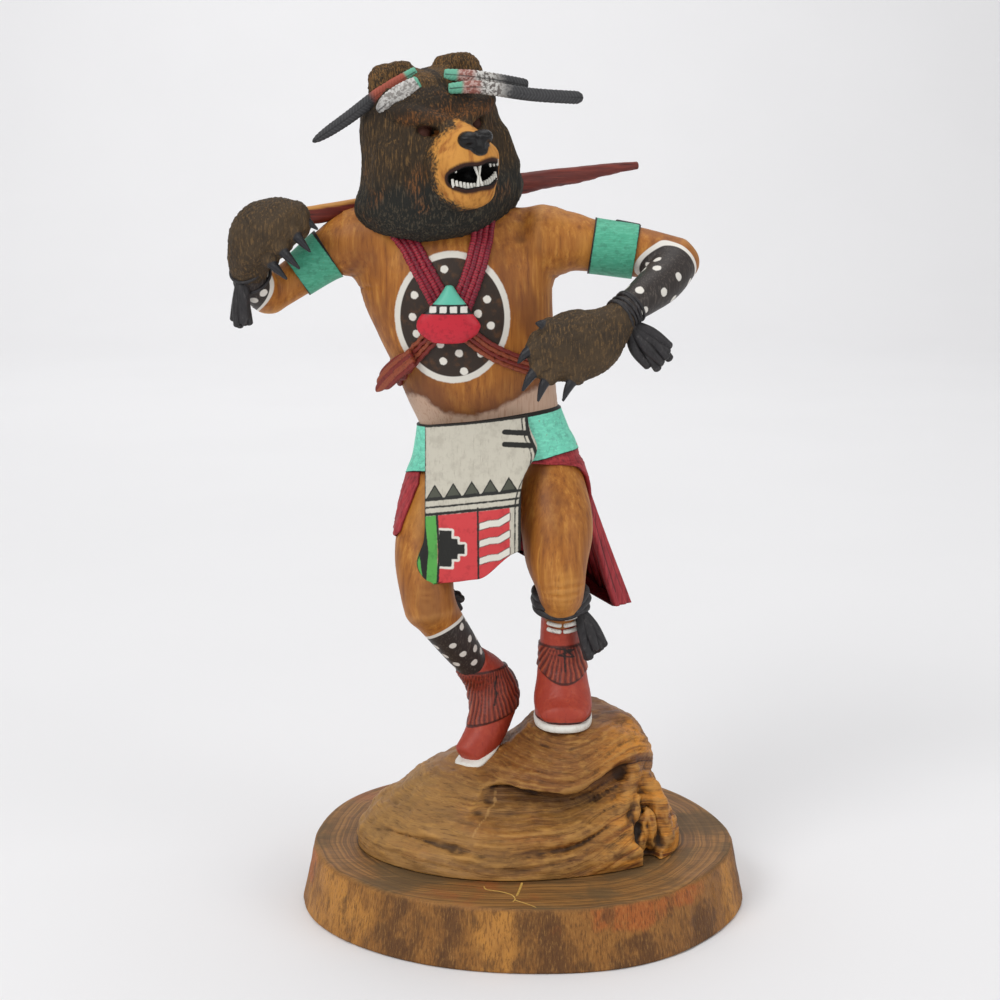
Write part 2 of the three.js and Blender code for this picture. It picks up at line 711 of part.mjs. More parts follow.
const COLOURS = {
  slab: [0x9a6535, 0.6],
  rock: [0x8f5f33, 0.65],
  figure: [0xa5692f, 0.6],
  staff: [0x6e2419, 0.65],
  feather: [0x3b3b3b, 0.7],
};
function meshOf(name, body, look) {
  // Closed pockets and specks left by the cuts are dropped.
  const [whole] = body.simplify(FINEST).decompose().sort((a, b) => b.volume() - a.volume());
  const { vertProperties, triVerts } = whole.getMesh();
  const indexed = new THREE.BufferGeometry();
  indexed.setAttribute("position", new THREE.BufferAttribute(vertProperties, 3));
  indexed.setIndex(Array.from(triVerts));
  const geometry = indexed.toNonIndexed();
  geometry.computeVertexNormals();
  const [color, roughness] = COLOURS[look];
  const mesh = new THREE.Mesh(geometry, new THREE.MeshStandardMaterial({ color, roughness, metalness: 0 }));
  mesh.name = name;
  return mesh;
}

const doll = new THREE.Group();
const sockets = [staff(GAP), ...Object.keys(FEATHERS).map((name) => feather(name, GAP))];
const feet = join([leftSole(GAP, GAP), rightSole(GAP), limb(placed(RIGHT_BOOT), { grow: GAP })]);
doll.add(meshOf("slab", slab(), "slab"));
doll.add(meshOf("rock", rock(feet), "rock"));
doll.add(meshOf("figure", figure(sockets), "figure"));
doll.add(meshOf("staff", staff(), "staff"));
for (const name of Object.keys(FEATHERS)) doll.add(meshOf(name, feather(name), "feather"));

export default doll;
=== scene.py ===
import math

import bpy
import numpy as np
import openvdb
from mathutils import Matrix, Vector


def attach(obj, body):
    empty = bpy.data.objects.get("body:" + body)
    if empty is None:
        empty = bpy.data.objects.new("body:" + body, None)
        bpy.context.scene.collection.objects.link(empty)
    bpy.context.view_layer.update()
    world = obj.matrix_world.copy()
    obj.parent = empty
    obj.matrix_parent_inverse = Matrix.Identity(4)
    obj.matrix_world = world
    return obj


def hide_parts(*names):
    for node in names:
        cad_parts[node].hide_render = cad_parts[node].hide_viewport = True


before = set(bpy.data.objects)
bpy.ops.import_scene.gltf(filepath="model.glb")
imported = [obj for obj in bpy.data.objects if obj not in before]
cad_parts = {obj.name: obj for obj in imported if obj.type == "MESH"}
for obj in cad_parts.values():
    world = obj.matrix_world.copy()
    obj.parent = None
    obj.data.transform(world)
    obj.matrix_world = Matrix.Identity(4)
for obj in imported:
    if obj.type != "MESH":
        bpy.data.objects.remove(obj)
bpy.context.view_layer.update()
MM = 0.001
BODY = "root"


# Numbers and curves


def unit(vector):
    vector = np.asarray(vector, float)
    return vector / np.linalg.norm(vector)


def units(vectors):
    return vectors / np.linalg.norm(vectors, axis=-1, keepdims=True)


def smoothstep(low, high, value):
    share = np.clip((value - low) / (high - low), 0, 1)
    return share * share * (3 - 2 * share)


def hump(value, centre, width):
    """1 at the centre, falling to nothing over a few widths."""
    return np.exp(-(((value - centre) / width) ** 2))


def turned_flat(angle):
    """Axes turned about the third one."""
    c, s = math.cos(angle), math.sin(angle)
    return np.array([[c, -s, 0], [s, c, 0], [0, 0, 1]])


def through_rows(rows, steps):
    """A Catmull-Rom curve through rows of numbers, with `steps` new rows for each old one."""
    rows = np.asarray(rows, float)
    padded = np.vstack([rows[:1], rows, rows[-1:]])
    out = []
    for i in range(len(rows) - 1):
        before, p, q, after = padded[i : i + 4]
        t = (np.arange(steps) / steps)[:, None]
        squared = 2 * before - 5 * p + 4 * q - after
        cubed = 3 * p - before - 3 * q + after
        out.append((2 * p + (q - before) * t + squared * t**2 + cubed * t**3) / 2)
    return np.vstack(out + [rows[-1:]])


def read_grid(grid, cell, share):
    """The value in each grid cell, blended from its eight corners by the share of the way along each axis."""
    total = np.zeros(len(cell))
    for corner in range(8):
        offset = np.array([corner & 1, corner >> 1 & 1, corner >> 2])
        weight = np.prod(np.where(offset, share, 1 - share), axis=1)
        x, y, z = ((cell + offset) % grid.shape).T
        total += weight * grid[x, y, z]
    return total


LATTICE_SIDE = 48
LATTICE = np.random.default_rng(11).random((LATTICE_SIDE,) * 3).astype(np.float32) * 2 - 1


def noise(points):
    """Smooth value noise from -1 to 1, one lattice cell for each unit."""
    cell = np.floor(points).astype(int)
    t = points - cell
    return read_grid(LATTICE, cell, t * t * (3 - 2 * t))


def layered_noise(points, layers=3):
    return sum(noise(points * 2**k + 7.3 * k) / 2**k for k in range(layers))


# Carving on a grid


class Block:
    """A block of space on a grid. Its field is the distance in mm to the carved surface, negative inside."""

    FAR = 6.0

    def __init__(self, low, high, step):
        self.low = np.asarray(low, float)
        self.step = step
        self.shape = np.ceil((np.asarray(high, float) - self.low) / step - 0.001).astype(int) + 1
        self.high = self.low + (self.shape - 1) * step
        self.field = np.full(self.shape, self.FAR, np.float32)

    def twin(self):
        """An empty block of the same size."""
        return Block(self.low, self.high, self.step)

    def whole(self):
        """All of the block, as a form for another one of the same size."""
        return tuple(slice(0, n) for n in self.shape), self.field

    def part(self, low, high):
        """The slices of the grid between two corners, and the points in them."""
        first = np.maximum(np.floor((np.asarray(low) - self.low) / self.step).astype(int), 0)
        last = np.minimum(np.ceil((np.asarray(high) - self.low) / self.step).astype(int) + 1, self.shape)
        slices = tuple(slice(a, max(a, b)) for a, b in zip(first, last))
        axes = [self.low[k] + self.step * np.arange(s.start, s.stop) for k, s in enumerate(slices)]
        return slices, np.meshgrid(*axes, indexing="ij", sparse=True)

    def add(self, form, blend=1.0):
        """Joins a form (slices, distances), rounding the crease where they meet by `blend`."""
        slices, distance = form
        here = self.field[slices]
        bump = np.maximum(blend - np.abs(here - distance), 0) / blend
        near = np.clip(self.FAR - np.maximum(here, distance), 0, 1)
        self.field[slices] = np.minimum(here, distance) - near * bump * bump * blend / 4

    def cut(self, form, blend=0.6):
        """Takes a form away, rounding the edge."""
        slices, distance = form
        here = self.field[slices]
        bump = np.maximum(blend - np.abs(here + distance), 0) / blend
        near = np.clip(self.FAR - np.abs(here), 0, 1)
        self.field[slices] = np.maximum(here, -distance) + near * bump * bump * blend / 4

    def limb(self, stations, front=(0, -1, 0), start=0.7, end=0.7):
        """Ellipses [x, y, z, half width, half depth] along a curve; the half depth lies along `front`."""
        rows = through_rows(stations, 6)
        centre, radii = rows[:, :3], rows[:, 3:5]
        reach = radii.max() + self.FAR
        slices, _ = self.part(centre.min(0) - reach, centre.max(0) + reach)
        origin = np.array([s.start for s in slices])
        whole = np.full([s.stop - s.start for s in slices], self.FAR, np.float32)
        front = np.asarray(front, float)
        for i in range(len(rows) - 1):
            a, b = centre[i], centre[i + 1]
            along = b - a
            length = np.linalg.norm(along)
            along = along / length
            deep = unit(front - along * (front @ along))
            wide = np.cross(deep, along)
            pad = radii[i : i + 2].max() + self.FAR * 0.7
            local, (x, y, z) = self.part(np.minimum(a, b) - pad, np.maximum(a, b) + pad)
            x, y, z = x - a[0], y - a[1], z - a[2]
            run = x * along[0] + y * along[1] + z * along[2]
            t = np.clip(run / length, 0, 1)
            over = run - t * length
            width = radii[i, 0] + (radii[i + 1, 0] - radii[i, 0]) * t
            depth = radii[i, 1] + (radii[i + 1, 1] - radii[i, 1]) * t
            least = np.minimum(width, depth)
            cap = 0.2 * least + 0.3
            if i == 0:
                cap = np.where(over < 0, least * start + 0.05, cap)
            if i == len(rows) - 2:
                cap = np.where(over > 0, least * end + 0.05, cap)
            u = (x * wide[0] + y * wide[1] + z * wide[2]) / width
            v = (x * deep[0] + y * deep[1] + z * deep[2]) / depth
            w = over / cap
            k0 = np.sqrt(u * u + v * v + w * w)
            k1 = np.sqrt((u / width) ** 2 + (v / depth) ** 2 + (w / cap) ** 2) + 1e-6
            distance = (k0 * (k0 - 1) / k1).astype(np.float32)
            inner = tuple(slice(s.start - o, s.stop - o) for s, o in zip(local, origin))
            whole[inner] = np.minimum(whole[inner], distance)
        return slices, whole

    def ball(self, centre, radii, axes=np.eye(3)):
        centre, radii = np.asarray(centre, float), np.ones(3) * radii
        reach = radii.max() + self.FAR
        slices, (x, y, z) = self.part(centre - reach, centre + reach)
        x, y, z = x - centre[0], y - centre[1], z - centre[2]
        scaled = [(x * axis[0] + y * axis[1] + z * axis[2]) / r for axis, r in zip(axes, radii)]
        k0 = np.sqrt(sum(s * s for s in scaled))
        k1 = np.sqrt(sum((s / r) ** 2 for s, r in zip(scaled, radii))) + 1e-6
        return slices, (k0 * (k0 - 1) / k1).astype(np.float32)

    def distance(self, points):
        """The field at any points, read between the grid's own."""
        at = (points - self.low) / self.step
        at = np.clip(at, 0, np.array(self.shape) - 1.001)
        cell = np.floor(at).astype(int)
        return read_grid(self.field, cell, at - cell)

    def slope(self, points):
        """Which way the field grows at each point, as a direction."""
        slopes = [self.distance(points + axis) - self.distance(points - axis) for axis in np.eye(3)]
        slopes = np.stack(slopes, axis=1)
        return slopes / (np.linalg.norm(slopes, axis=1, keepdims=True) + 1e-9)

    def surface(self):
        """Points and quads of the carved surface."""
        grid = openvdb.FloatGrid(3.0)
        grid.copyFromArray(np.clip(self.field, -3, 3))
        points, quads = grid.convertToQuads(isovalue=0.0)
        points = points.astype(float) * self.step + self.low
        quads = quads.astype(int)
        return points, facing_out(points, quads)


def facing_out(points, quads):
    a, b, c, d = (points[quads[:, k]] for k in range(4))
    volume = np.einsum("ij,ij->i", a + b + c + d, np.cross(c - a, d - b)).sum()
    return quads if volume > 0 else quads[:, ::-1]


def normals_of(points, quads):
    a, b, c, d = (points[quads[:, k]] for k in range(4))
    face = np.cross(c - a, d - b)
    total = np.zeros_like(points)
    for k in range(4):
        for axis in range(3):
            total[:, axis] += np.bincount(quads[:, k], face[:, axis], len(points))
    return total / (np.linalg.norm(total, axis=1, keepdims=True) + 1e-12)


def softened(values, quads, rounds):
    """Values spread over their neighbours on the mesh."""
    count = np.bincount(quads.ravel(), minlength=len(values)).astype(float)
    for _ in range(rounds):
        mean = values[quads].mean(axis=1)
        total = np.zeros_like(values)
        for k in range(4):
            total += np.bincount(quads[:, k], mean, len(values))
        values = total / np.maximum(count, 1)
    return values


def hollows(points, quads, rounds=10):
    """How far each point lies below its surroundings, in mm: positive in creases, negative on edges."""
    mean = np.stack([softened(points[:, k], quads, rounds) for k in range(3)], axis=1)
    return np.einsum("ij,ij->i", mean - points, normals_of(points, quads))


def loft(rings):
    """Closes a stack of equal rings of points with a fan at each end, all in quads."""
    rings = np.asarray(rings, float)
    count, sides = rings.shape[:2]
    points = rings.reshape(-1, 3)
    points = np.vstack([points, rings[0].mean(0), rings[-1].mean(0)])
    i, j = np.meshgrid(np.arange(count - 1), np.arange(sides), indexing="ij")
    k = (j + 1) % sides
    quads = np.stack([i * sides + j, i * sides + k, (i + 1) * sides + k, (i + 1) * sides + j], -1)
    faces = [quads.reshape(-1, 4)]
    for hub, base in ((count * sides, 0), (count * sides + 1, (count - 1) * sides)):
        j = np.arange(0, sides, 2)
        fan = np.stack([np.full(len(j), hub), base + j, base + (j + 1) % sides, base + (j + 2) % sides], -1)
        faces.append(fan if base else fan[:, ::-1])
    quads = np.vstack(faces)
    return points, facing_out(points, quads)


def together(parts):
    """Several (points, quads) as one."""
    points, quads = [], []
    total = 0
    for more_points, more_quads in parts:
        points.append(more_points)
        quads.append(more_quads + total)
        total += len(more_points)
    return np.vstack(points), np.vstack(quads)


# Painted shapes as signed distances, negative inside


def in_line(x, z, points, half_width):
    best = np.full(len(x), 1e9)
    for (ax, az), (bx, bz) in zip(points, points[1:]):
        ex, ez = bx - ax, bz - az
        t = np.clip(((x - ax) * ex + (z - az) * ez) / (ex * ex + ez * ez), 0, 1)
        best = np.minimum(best, np.hypot(x - ax - ex * t, z - az - ez * t))
    return best - half_width


def in_polygon(x, z, corners):
    closed = [*corners, corners[0]]
    inside = np.zeros(len(x), bool)
    for (ax, az), (bx, bz) in zip(closed, closed[1:]):
        crosses = (az > z) != (bz > z)
        inside ^= crosses & (x < ax + (z - az) * (bx - ax) / ((bz - az) or 1e-9))
    best = in_line(x, z, closed, 0)
    return np.where(inside, -best, best)


def from_line(points, start, end):
    """The distance of each point from a straight piece of line."""
    start, along = np.asarray(start, float), np.subtract(end, start).astype(float)
    share = np.clip((points - start) @ along / (along @ along), 0, 1)
    return np.linalg.norm(points - start - share[:, None] * along, axis=1)


def near_points(points, centres, radius):
    best = np.full(len(points), 1e9)
    for centre in centres:
        best = np.minimum(best, np.linalg.norm(points - centre, axis=1))
    return best - radius


# Materials


class Look:
    """A painted wood: a base, then layers of colour laid over it where a mask says."""

    def __init__(self, name):
        self.material = bpy.data.materials.new(name)
        self.material.use_nodes = True
        self.tree = self.material.node_tree
        self.tree.nodes.clear()
        self.output = self.tree.nodes.new("ShaderNodeOutputMaterial")
        self.shader = self.tree.nodes.new("ShaderNodeBsdfPrincipled")
        self.tree.links.new(self.shader.outputs[0], self.output.inputs[0])
        self.place = self.tree.nodes.new("ShaderNodeTexCoord").outputs["Object"]
        self.colour = None
        self.bumps = []

    def node(self, kind, inputs=(), **settings):
        node = self.tree.nodes.new(kind)
        for key, value in inputs:
            self.put(node.inputs[key], value)
        for key, value in settings.items():
            setattr(node, key, value)
        return node

    def put(self, socket, value):
        """Sets an input to a number, a colour, another node's output, or the mark that a name stands for."""
        if isinstance(value, str):
            value = self.attribute(value)
        if isinstance(value, bpy.types.NodeSocket):
            self.tree.links.new(value, socket)
        else:
            socket.default_value = value

    def attribute(self, name):
        return self.node("ShaderNodeAttribute", attribute_name=name).outputs["Fac"]

    def math(self, operation, a, b=0.0):
        return self.node("ShaderNodeMath", ((0, a), (1, b)), operation=operation).outputs[0]

    def times(self, a, b):
        return self.math("MULTIPLY", a, b)

    def plus(self, a, b):
        return self.math("ADD", a, b)

    def noise(self, per_metre, detail=3.0, rough=0.55):
        """Noise from 0 to 1 with its own scale along each axis, in cells per metre."""
        scale = per_metre if isinstance(per_metre, tuple) else (per_metre,) * 3
        stretch = self.node("ShaderNodeVectorMath", ((0, self.place), (1, scale)), operation="MULTIPLY")
        inputs = (("Vector", stretch.outputs[0]), ("Scale", 1.0), ("Detail", detail), ("Roughness", rough))
        return self.node("ShaderNodeTexNoise", inputs).outputs["Fac"]

    def between(self, value, low, high, to_low=0.0, to_high=1.0):
        """Goes smoothly from one number to another while the value goes from low to high."""
        span = (("From Min", low), ("From Max", high), ("To Min", to_low), ("To Max", to_high))
        inputs = (("Value", value), *span)
        return self.node("ShaderNodeMapRange", inputs, interpolation_type="SMOOTHSTEP").outputs["Result"]

    def mix(self, share, a, b):
        node = self.node("ShaderNodeMix", data_type="RGBA")
        for key, value in (("Factor", share), ("A", rgb(a)), ("B", rgb(b))):
            self.put(node.inputs[key], value)
        return node.outputs["Result"]

    def base(self, colour):
        self.colour = rgb(colour)
        return self

    def lay(self, share, colour):
        self.colour = self.mix(share, self.colour, colour)
        return self

    def over(self, value, low, high, colour, most=1.0, within=None):
        """Lays a colour where the value goes from low to high, only within a mask if one is given."""
        share = self.between(value, low, high, 0, most)
        return self.lay(share if within is None else self.times(within, share), colour)

    def inside(self, name, edge=0.25, wobble=0.5):
        """1 inside a painted shape, with an edge like a hand-held brush's."""
        rough = self.times(self.math("SUBTRACT", self.noise(700.0, 2.0), 0.5), wobble)
        return self.between(self.plus(name, rough), edge, -edge)

    def bump(self, height, millimetres, strength=1.0):
        self.bumps.append((height, millimetres, strength))
        return self

    def finish(self, roughness=0.6, specular=0.4):
        self.put(self.shader.inputs["Base Color"], self.colour)
        self.put(self.shader.inputs["Roughness"], roughness)
        self.shader.inputs["Specular IOR Level"].default_value = specular
        normal = None
        for height, millimetres, strength in self.bumps:
            inputs = (("Strength", strength), ("Distance", millimetres * MM), ("Height", height))
            node = self.node("ShaderNodeBump", inputs)
            if normal:
                self.put(node.inputs["Normal"], normal)
            normal = node.outputs[0]
        if normal:
            self.put(self.shader.inputs["Normal"], normal)
        return self.material


def rgb(colour):
    """sRGB from 0 to 255 as the shader's own linear colour."""
    if isinstance(colour, bpy.types.NodeSocket) or len(colour) == 4:
        return colour
    shares = [c / 255 for c in colour]
    linear = [s / 12.92 if s <= 0.04045 else ((s + 0.055) / 1.055) ** 2.4 for s in shares]
    return (*linear, 1.0)


def piece(name, form, material, node="figure"):
    """One visible piece, standing for a CAD node. Its form is points, quads and any paint marks."""
    points, quads, *marks = form
    mesh = bpy.data.meshes.new(name)
    mesh.from_pydata((points * MM).tolist(), [], quads.tolist())
    mesh.update()
    for key, values in marks[0].items() if marks else ():
        mesh.attributes.new(key, "FLOAT", "POINT").data.foreach_set("value", np.asarray(values, np.float32))
    mesh.shade_smooth()
    mesh.materials.append(material)
    thing = bpy.data.objects.new(name, mesh)
    bpy.context.scene.collection.objects.link(thing)
    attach(thing, BODY)
    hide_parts(node)


# The mask's own frame: side (viewer's right), up and forward, turned and tilted on the neck.
TURN, TILT = math.radians(26), math.radians(8)
HEAD_CENTRE = np.array([-40.0, -2.0, 338.0])
LEVEL = np.array([math.cos(TURN), math.sin(TURN), 0])
UPRIGHT = np.array([0, 0, 1.0])
HEAD_AXES = np.array([
    LEVEL * math.cos(TILT) + UPRIGHT * math.sin(TILT),
    UPRIGHT * math.cos(TILT) - LEVEL * math.sin(TILT),
    [math.sin(TURN), -math.cos(TURN), 0],
])


def from_head(local):
    return HEAD_CENTRE + np.asarray(local, float) @ HEAD_AXES


# The figure's forms, as ellipses [x, y, z, half width, half depth] along each limb, close to the solids' own.
TORSO = [
    [-14, 0, 194, 31, 21], [-15, 0, 210, 32, 22], [-16, 0, 223, 31, 20], [-20, -1, 240, 34, 21.5],
    [-23.6, -1, 256, 37, 22.5], [-27, -1, 270, 40, 23], [-30, 0, 284, 43, 22], [-30.5, 1, 296, 44.5, 19],
    [-30, 1, 305, 43, 15], [-30, 1, 310.5, 37, 9.5],
]
NECK = [[-33, 1, 300, 16, 14], [-37, 0, 320, 15, 14]]
RIGHT_ARM = [
    [-62, 0, 300, 15, 14], [-75, 0, 298.5, 14, 13], [-86, -1, 293.5, 10.9, 11],
    [-100, -3, 283.5, 8.8, 9.4], [-112, -6, 276, 8.4, 9],
]
RIGHT_FOREARM = [[-112.5, -5, 276, 8.6, 8.8], [-116.5, -14, 281, 8.6, 8.6], [-119, -22, 287.5, 7, 7]]
LEFT_ARM = [
    [8, 0, 299, 15, 14], [20, -1, 298.5, 13, 13], [29, -1, 297, 11.4, 11.6],
    [47, -2, 294.5, 11, 11.2], [66.5, -4, 291, 9.6, 10],
]
LEFT_FOREARM = [
    [67, -5, 290.5, 9.2, 9.6], [59, -19, 283, 9.4, 9.4], [50, -30, 277, 8, 8], [41.5, -38, 271.5, 6.2, 6.2],
]
RIGHT_THIGH = [
    [-33.2, 0, 204, 13.6, 16.4], [-37.4, -6, 192, 14.7, 17], [-42.4, -15, 176, 13.6, 16],
    [-44.5, -22, 162, 12.8, 14.5], [-43, -28, 148, 11.8, 13], [-42, -29, 140.5, 11, 12],
]
RIGHT_CALF = [
    [-41, -27, 140, 10.5, 11], [-36, -22, 131.5, 9.6, 9.8], [-29, -13, 119, 8.4, 8.6],
    [-22.5, -5, 107.5, 6.9, 7],
]
LEFT_THIGH = [
    [7, 2, 205, 15, 17], [11, -6, 192, 15.5, 17.5], [14, -17, 176, 16, 17],
    [14, -23, 162, 14, 15], [15.5, -27, 151, 11, 12.5], [16, -25, 143, 9.4, 10.5],
]
LEFT_CALF = [[16, -20, 142, 9, 9.5], [16, -13, 131, 7.6, 8.4]]
RIGHT_BOOT = [
    [-23, -5, 109, 8.2, 8.4], [-17.5, 1, 101.5, 10, 10.4], [-14, 2, 93, 11.4, 11.5],
    [-15, -2, 84, 9.8, 11], [-18.8, -6.8, 75.2, 8.8, 9.2], [-24.6, -13, 67.8, 7.8, 5.8],
]
LEFT_BOOT_SHAFT = [
    [16, -17.5, 141, 9.4, 9.6], [16, -14, 134, 8.6, 9.4], [16, -10, 122, 9, 9.8],
    [16.8, -8, 108, 10.2, 11.2], [17, -8, 94, 11.2, 12.6],
]
LEFT_BOOT_SKIRT = [
    [17, -8.5, 108, 10.2, 11.2], [17.2, -10.5, 98, 11.6, 14.5], [17.4, -11.5, 90, 12.5, 17.4],
    [17.4, -11.5, 84.5, 12.7, 17.8],
]
LEFT_FOOT = [
    [17, 4, 95, 9, 8], [17, -8, 95.5, 11, 9], [17.5, -19, 93.5, 12.2, 7.4], [17.5, -28, 91.5, 10.4, 4.8],
]
RIGHT_SOLE = [
    [-8, 10, 87, 6.4, 2.6], [-13, 3, 78.5, 8, 2.6], [-19.5, -6, 69.4, 9.4, 2.6],
    [-24.6, -12.8, 65, 8.8, 2.6], [-26.8, -15.4, 63.7, 6.8, 2.4],
]
RIGHT_PAW = [
    [-119, -20, 285, 7.4, 7.2], [-117.5, -24, 294, 10, 9.4], [-113, -26, 302.5, 13, 11.4],
    [-105, -26, 307.5, 12, 11], [-97.5, -24, 309, 8.4, 9],
]
RIGHT_CLAWS = [
    [-99, -31, 306, -91, -35, 296.5], [-105, -32, 299.5, -95.5, -36, 289.5],
    [-96.5, -27, 312, -88.5, -27, 305.5], [-110, -30, 294, -101, -35, 285],
]
LEFT_PAW = [
    [41.5, -38, 271.5, 6.2, 6.4], [36, -40, 265.5, 9.6, 7], [28, -42, 260, 14, 8],
    [18, -43.5, 257, 15, 8], [9, -44, 256, 12, 7], [4, -44, 256, 8, 5.6],
]
LEFT_CLAWS = [
    [10, -46, 266, 4, -47, 267.5], [4, -46, 258, -3.5, -49, 251], [6, -46, 250, -1.5, -50, 239.5],
    [10.5, -46, 247, 5, -49, 235], [22, -45, 246.5, 15.5, -48, 235],
]
BELT = [[-13.6, 0, 202.5, 36, 25], [-14.8, 0, 212, 33.8, 23.6], [-16, 0, 222, 31.2, 21.4]]
BELT_SAG = 2.2

# The same again for the mask, in its own frame [side, up, forward, half width, half depth].
MASK = [
    [0, -33, 2, 24, 20], [0, -29, 2, 33, 25], [0, -20, 1, 38.5, 27.5], [0, -9, 0, 34, 27],
    [0, 0, 0, 32, 26.5], [0, 12, 0, 31, 26], [0, 21, 0, 28.5, 23.5], [0, 28, 0, 22, 18],
]
MUZZLE = [
    [-0.5, -6.5, 12, 17, 19], [-1, -6.8, 26, 15.6, 17.8], [-1, -6.8, 36, 13.8, 15.8],
    [-1, -6.6, 42, 10.8, 12.6],
]
MOUTH = [
    [-12.5, -9.8, 43, 2.4, 14], [-7, -9.8, 46, 4.5, 12], [-1, -9.9, 47, 4.1, 12],
    [5, -9.5, 46, 4.6, 12], [10, -9.2, 43, 2.8, 14],
]
EAR = [[21, 2, 10.4, 5.8], [28.5, 2, 12.4, 5.8], [34.5, 1.5, 11.4, 5], [38.4, 1, 8.4, 3.6]]
EAR_SPREAD = 14.6
EYES = [[-12, 10.2, 21.4], [11, 10.2, 21.4]]
NOSE_LOBES = (-2.9, 4.2)
NOSE_LINE = 0.7


def sweep(stations, front=(0, -1, 0), sides=20, steps=6, start=0.7, end=0.7, grow=0.0, wave=None):
    """A closed loft through a limb's ellipses, with rounded ends. `wave` scales each row's rings."""
    rows = through_rows(stations, steps)
    centre, radii = rows[:, :3], rows[:, 3:5] + grow
    along = units(np.gradient(centre, axis=0))
    front = np.asarray(front, float)
    deep = units(front - along * (along @ front)[:, None])
    wide = np.cross(deep, along)
    angle = np.linspace(0, 2 * math.pi, sides, endpoint=False)
    every = np.arange(len(rows))
    scale = np.ones(len(rows)) if wave is None else wave(every / (len(rows) - 1))

    def rings(rows_at, shrink, shift):
        across = wide[rows_at, None] * np.cos(angle)[None, :, None] * radii[rows_at, None, :1]
        across = across + deep[rows_at, None] * np.sin(angle)[None, :, None] * radii[rows_at, None, 1:]
        return (centre[rows_at] + shift)[:, None] + across * np.asarray(shrink)[:, None, None]

    def cap(row, way, share):
        t = np.sin(np.linspace(0.25, 1.45, 5))
        reach = share * scale[row] * radii[row].min() * t[:, None] * way
        return rings(np.full(5, row), scale[row] * np.sqrt(1 - t * t), along[row] * reach)

    layers = [rings(every, scale, 0)]
    if start:
        layers.insert(0, cap(0, -1, start)[::-1])
    if end:
        layers.append(cap(len(rows) - 1, 1, end))
    return loft(np.vstack(layers))


def fur_height(points, across, along, clumps):
    """The relief of fur strokes: fine hairs in clumps, drawn out along one axis."""
    scale = np.array([across, across, across])
    scale[along] = across * 0.16
    hairs = np.abs(noise(points * scale)) ** 0.7 + 0.6 * np.abs(noise(points * scale * 1.9 + 5))
    tufts = layered_noise(points * scale * 0.22, 2)
    return 0.45 * (0.7 - hairs) + clumps * tufts


# The bear mask

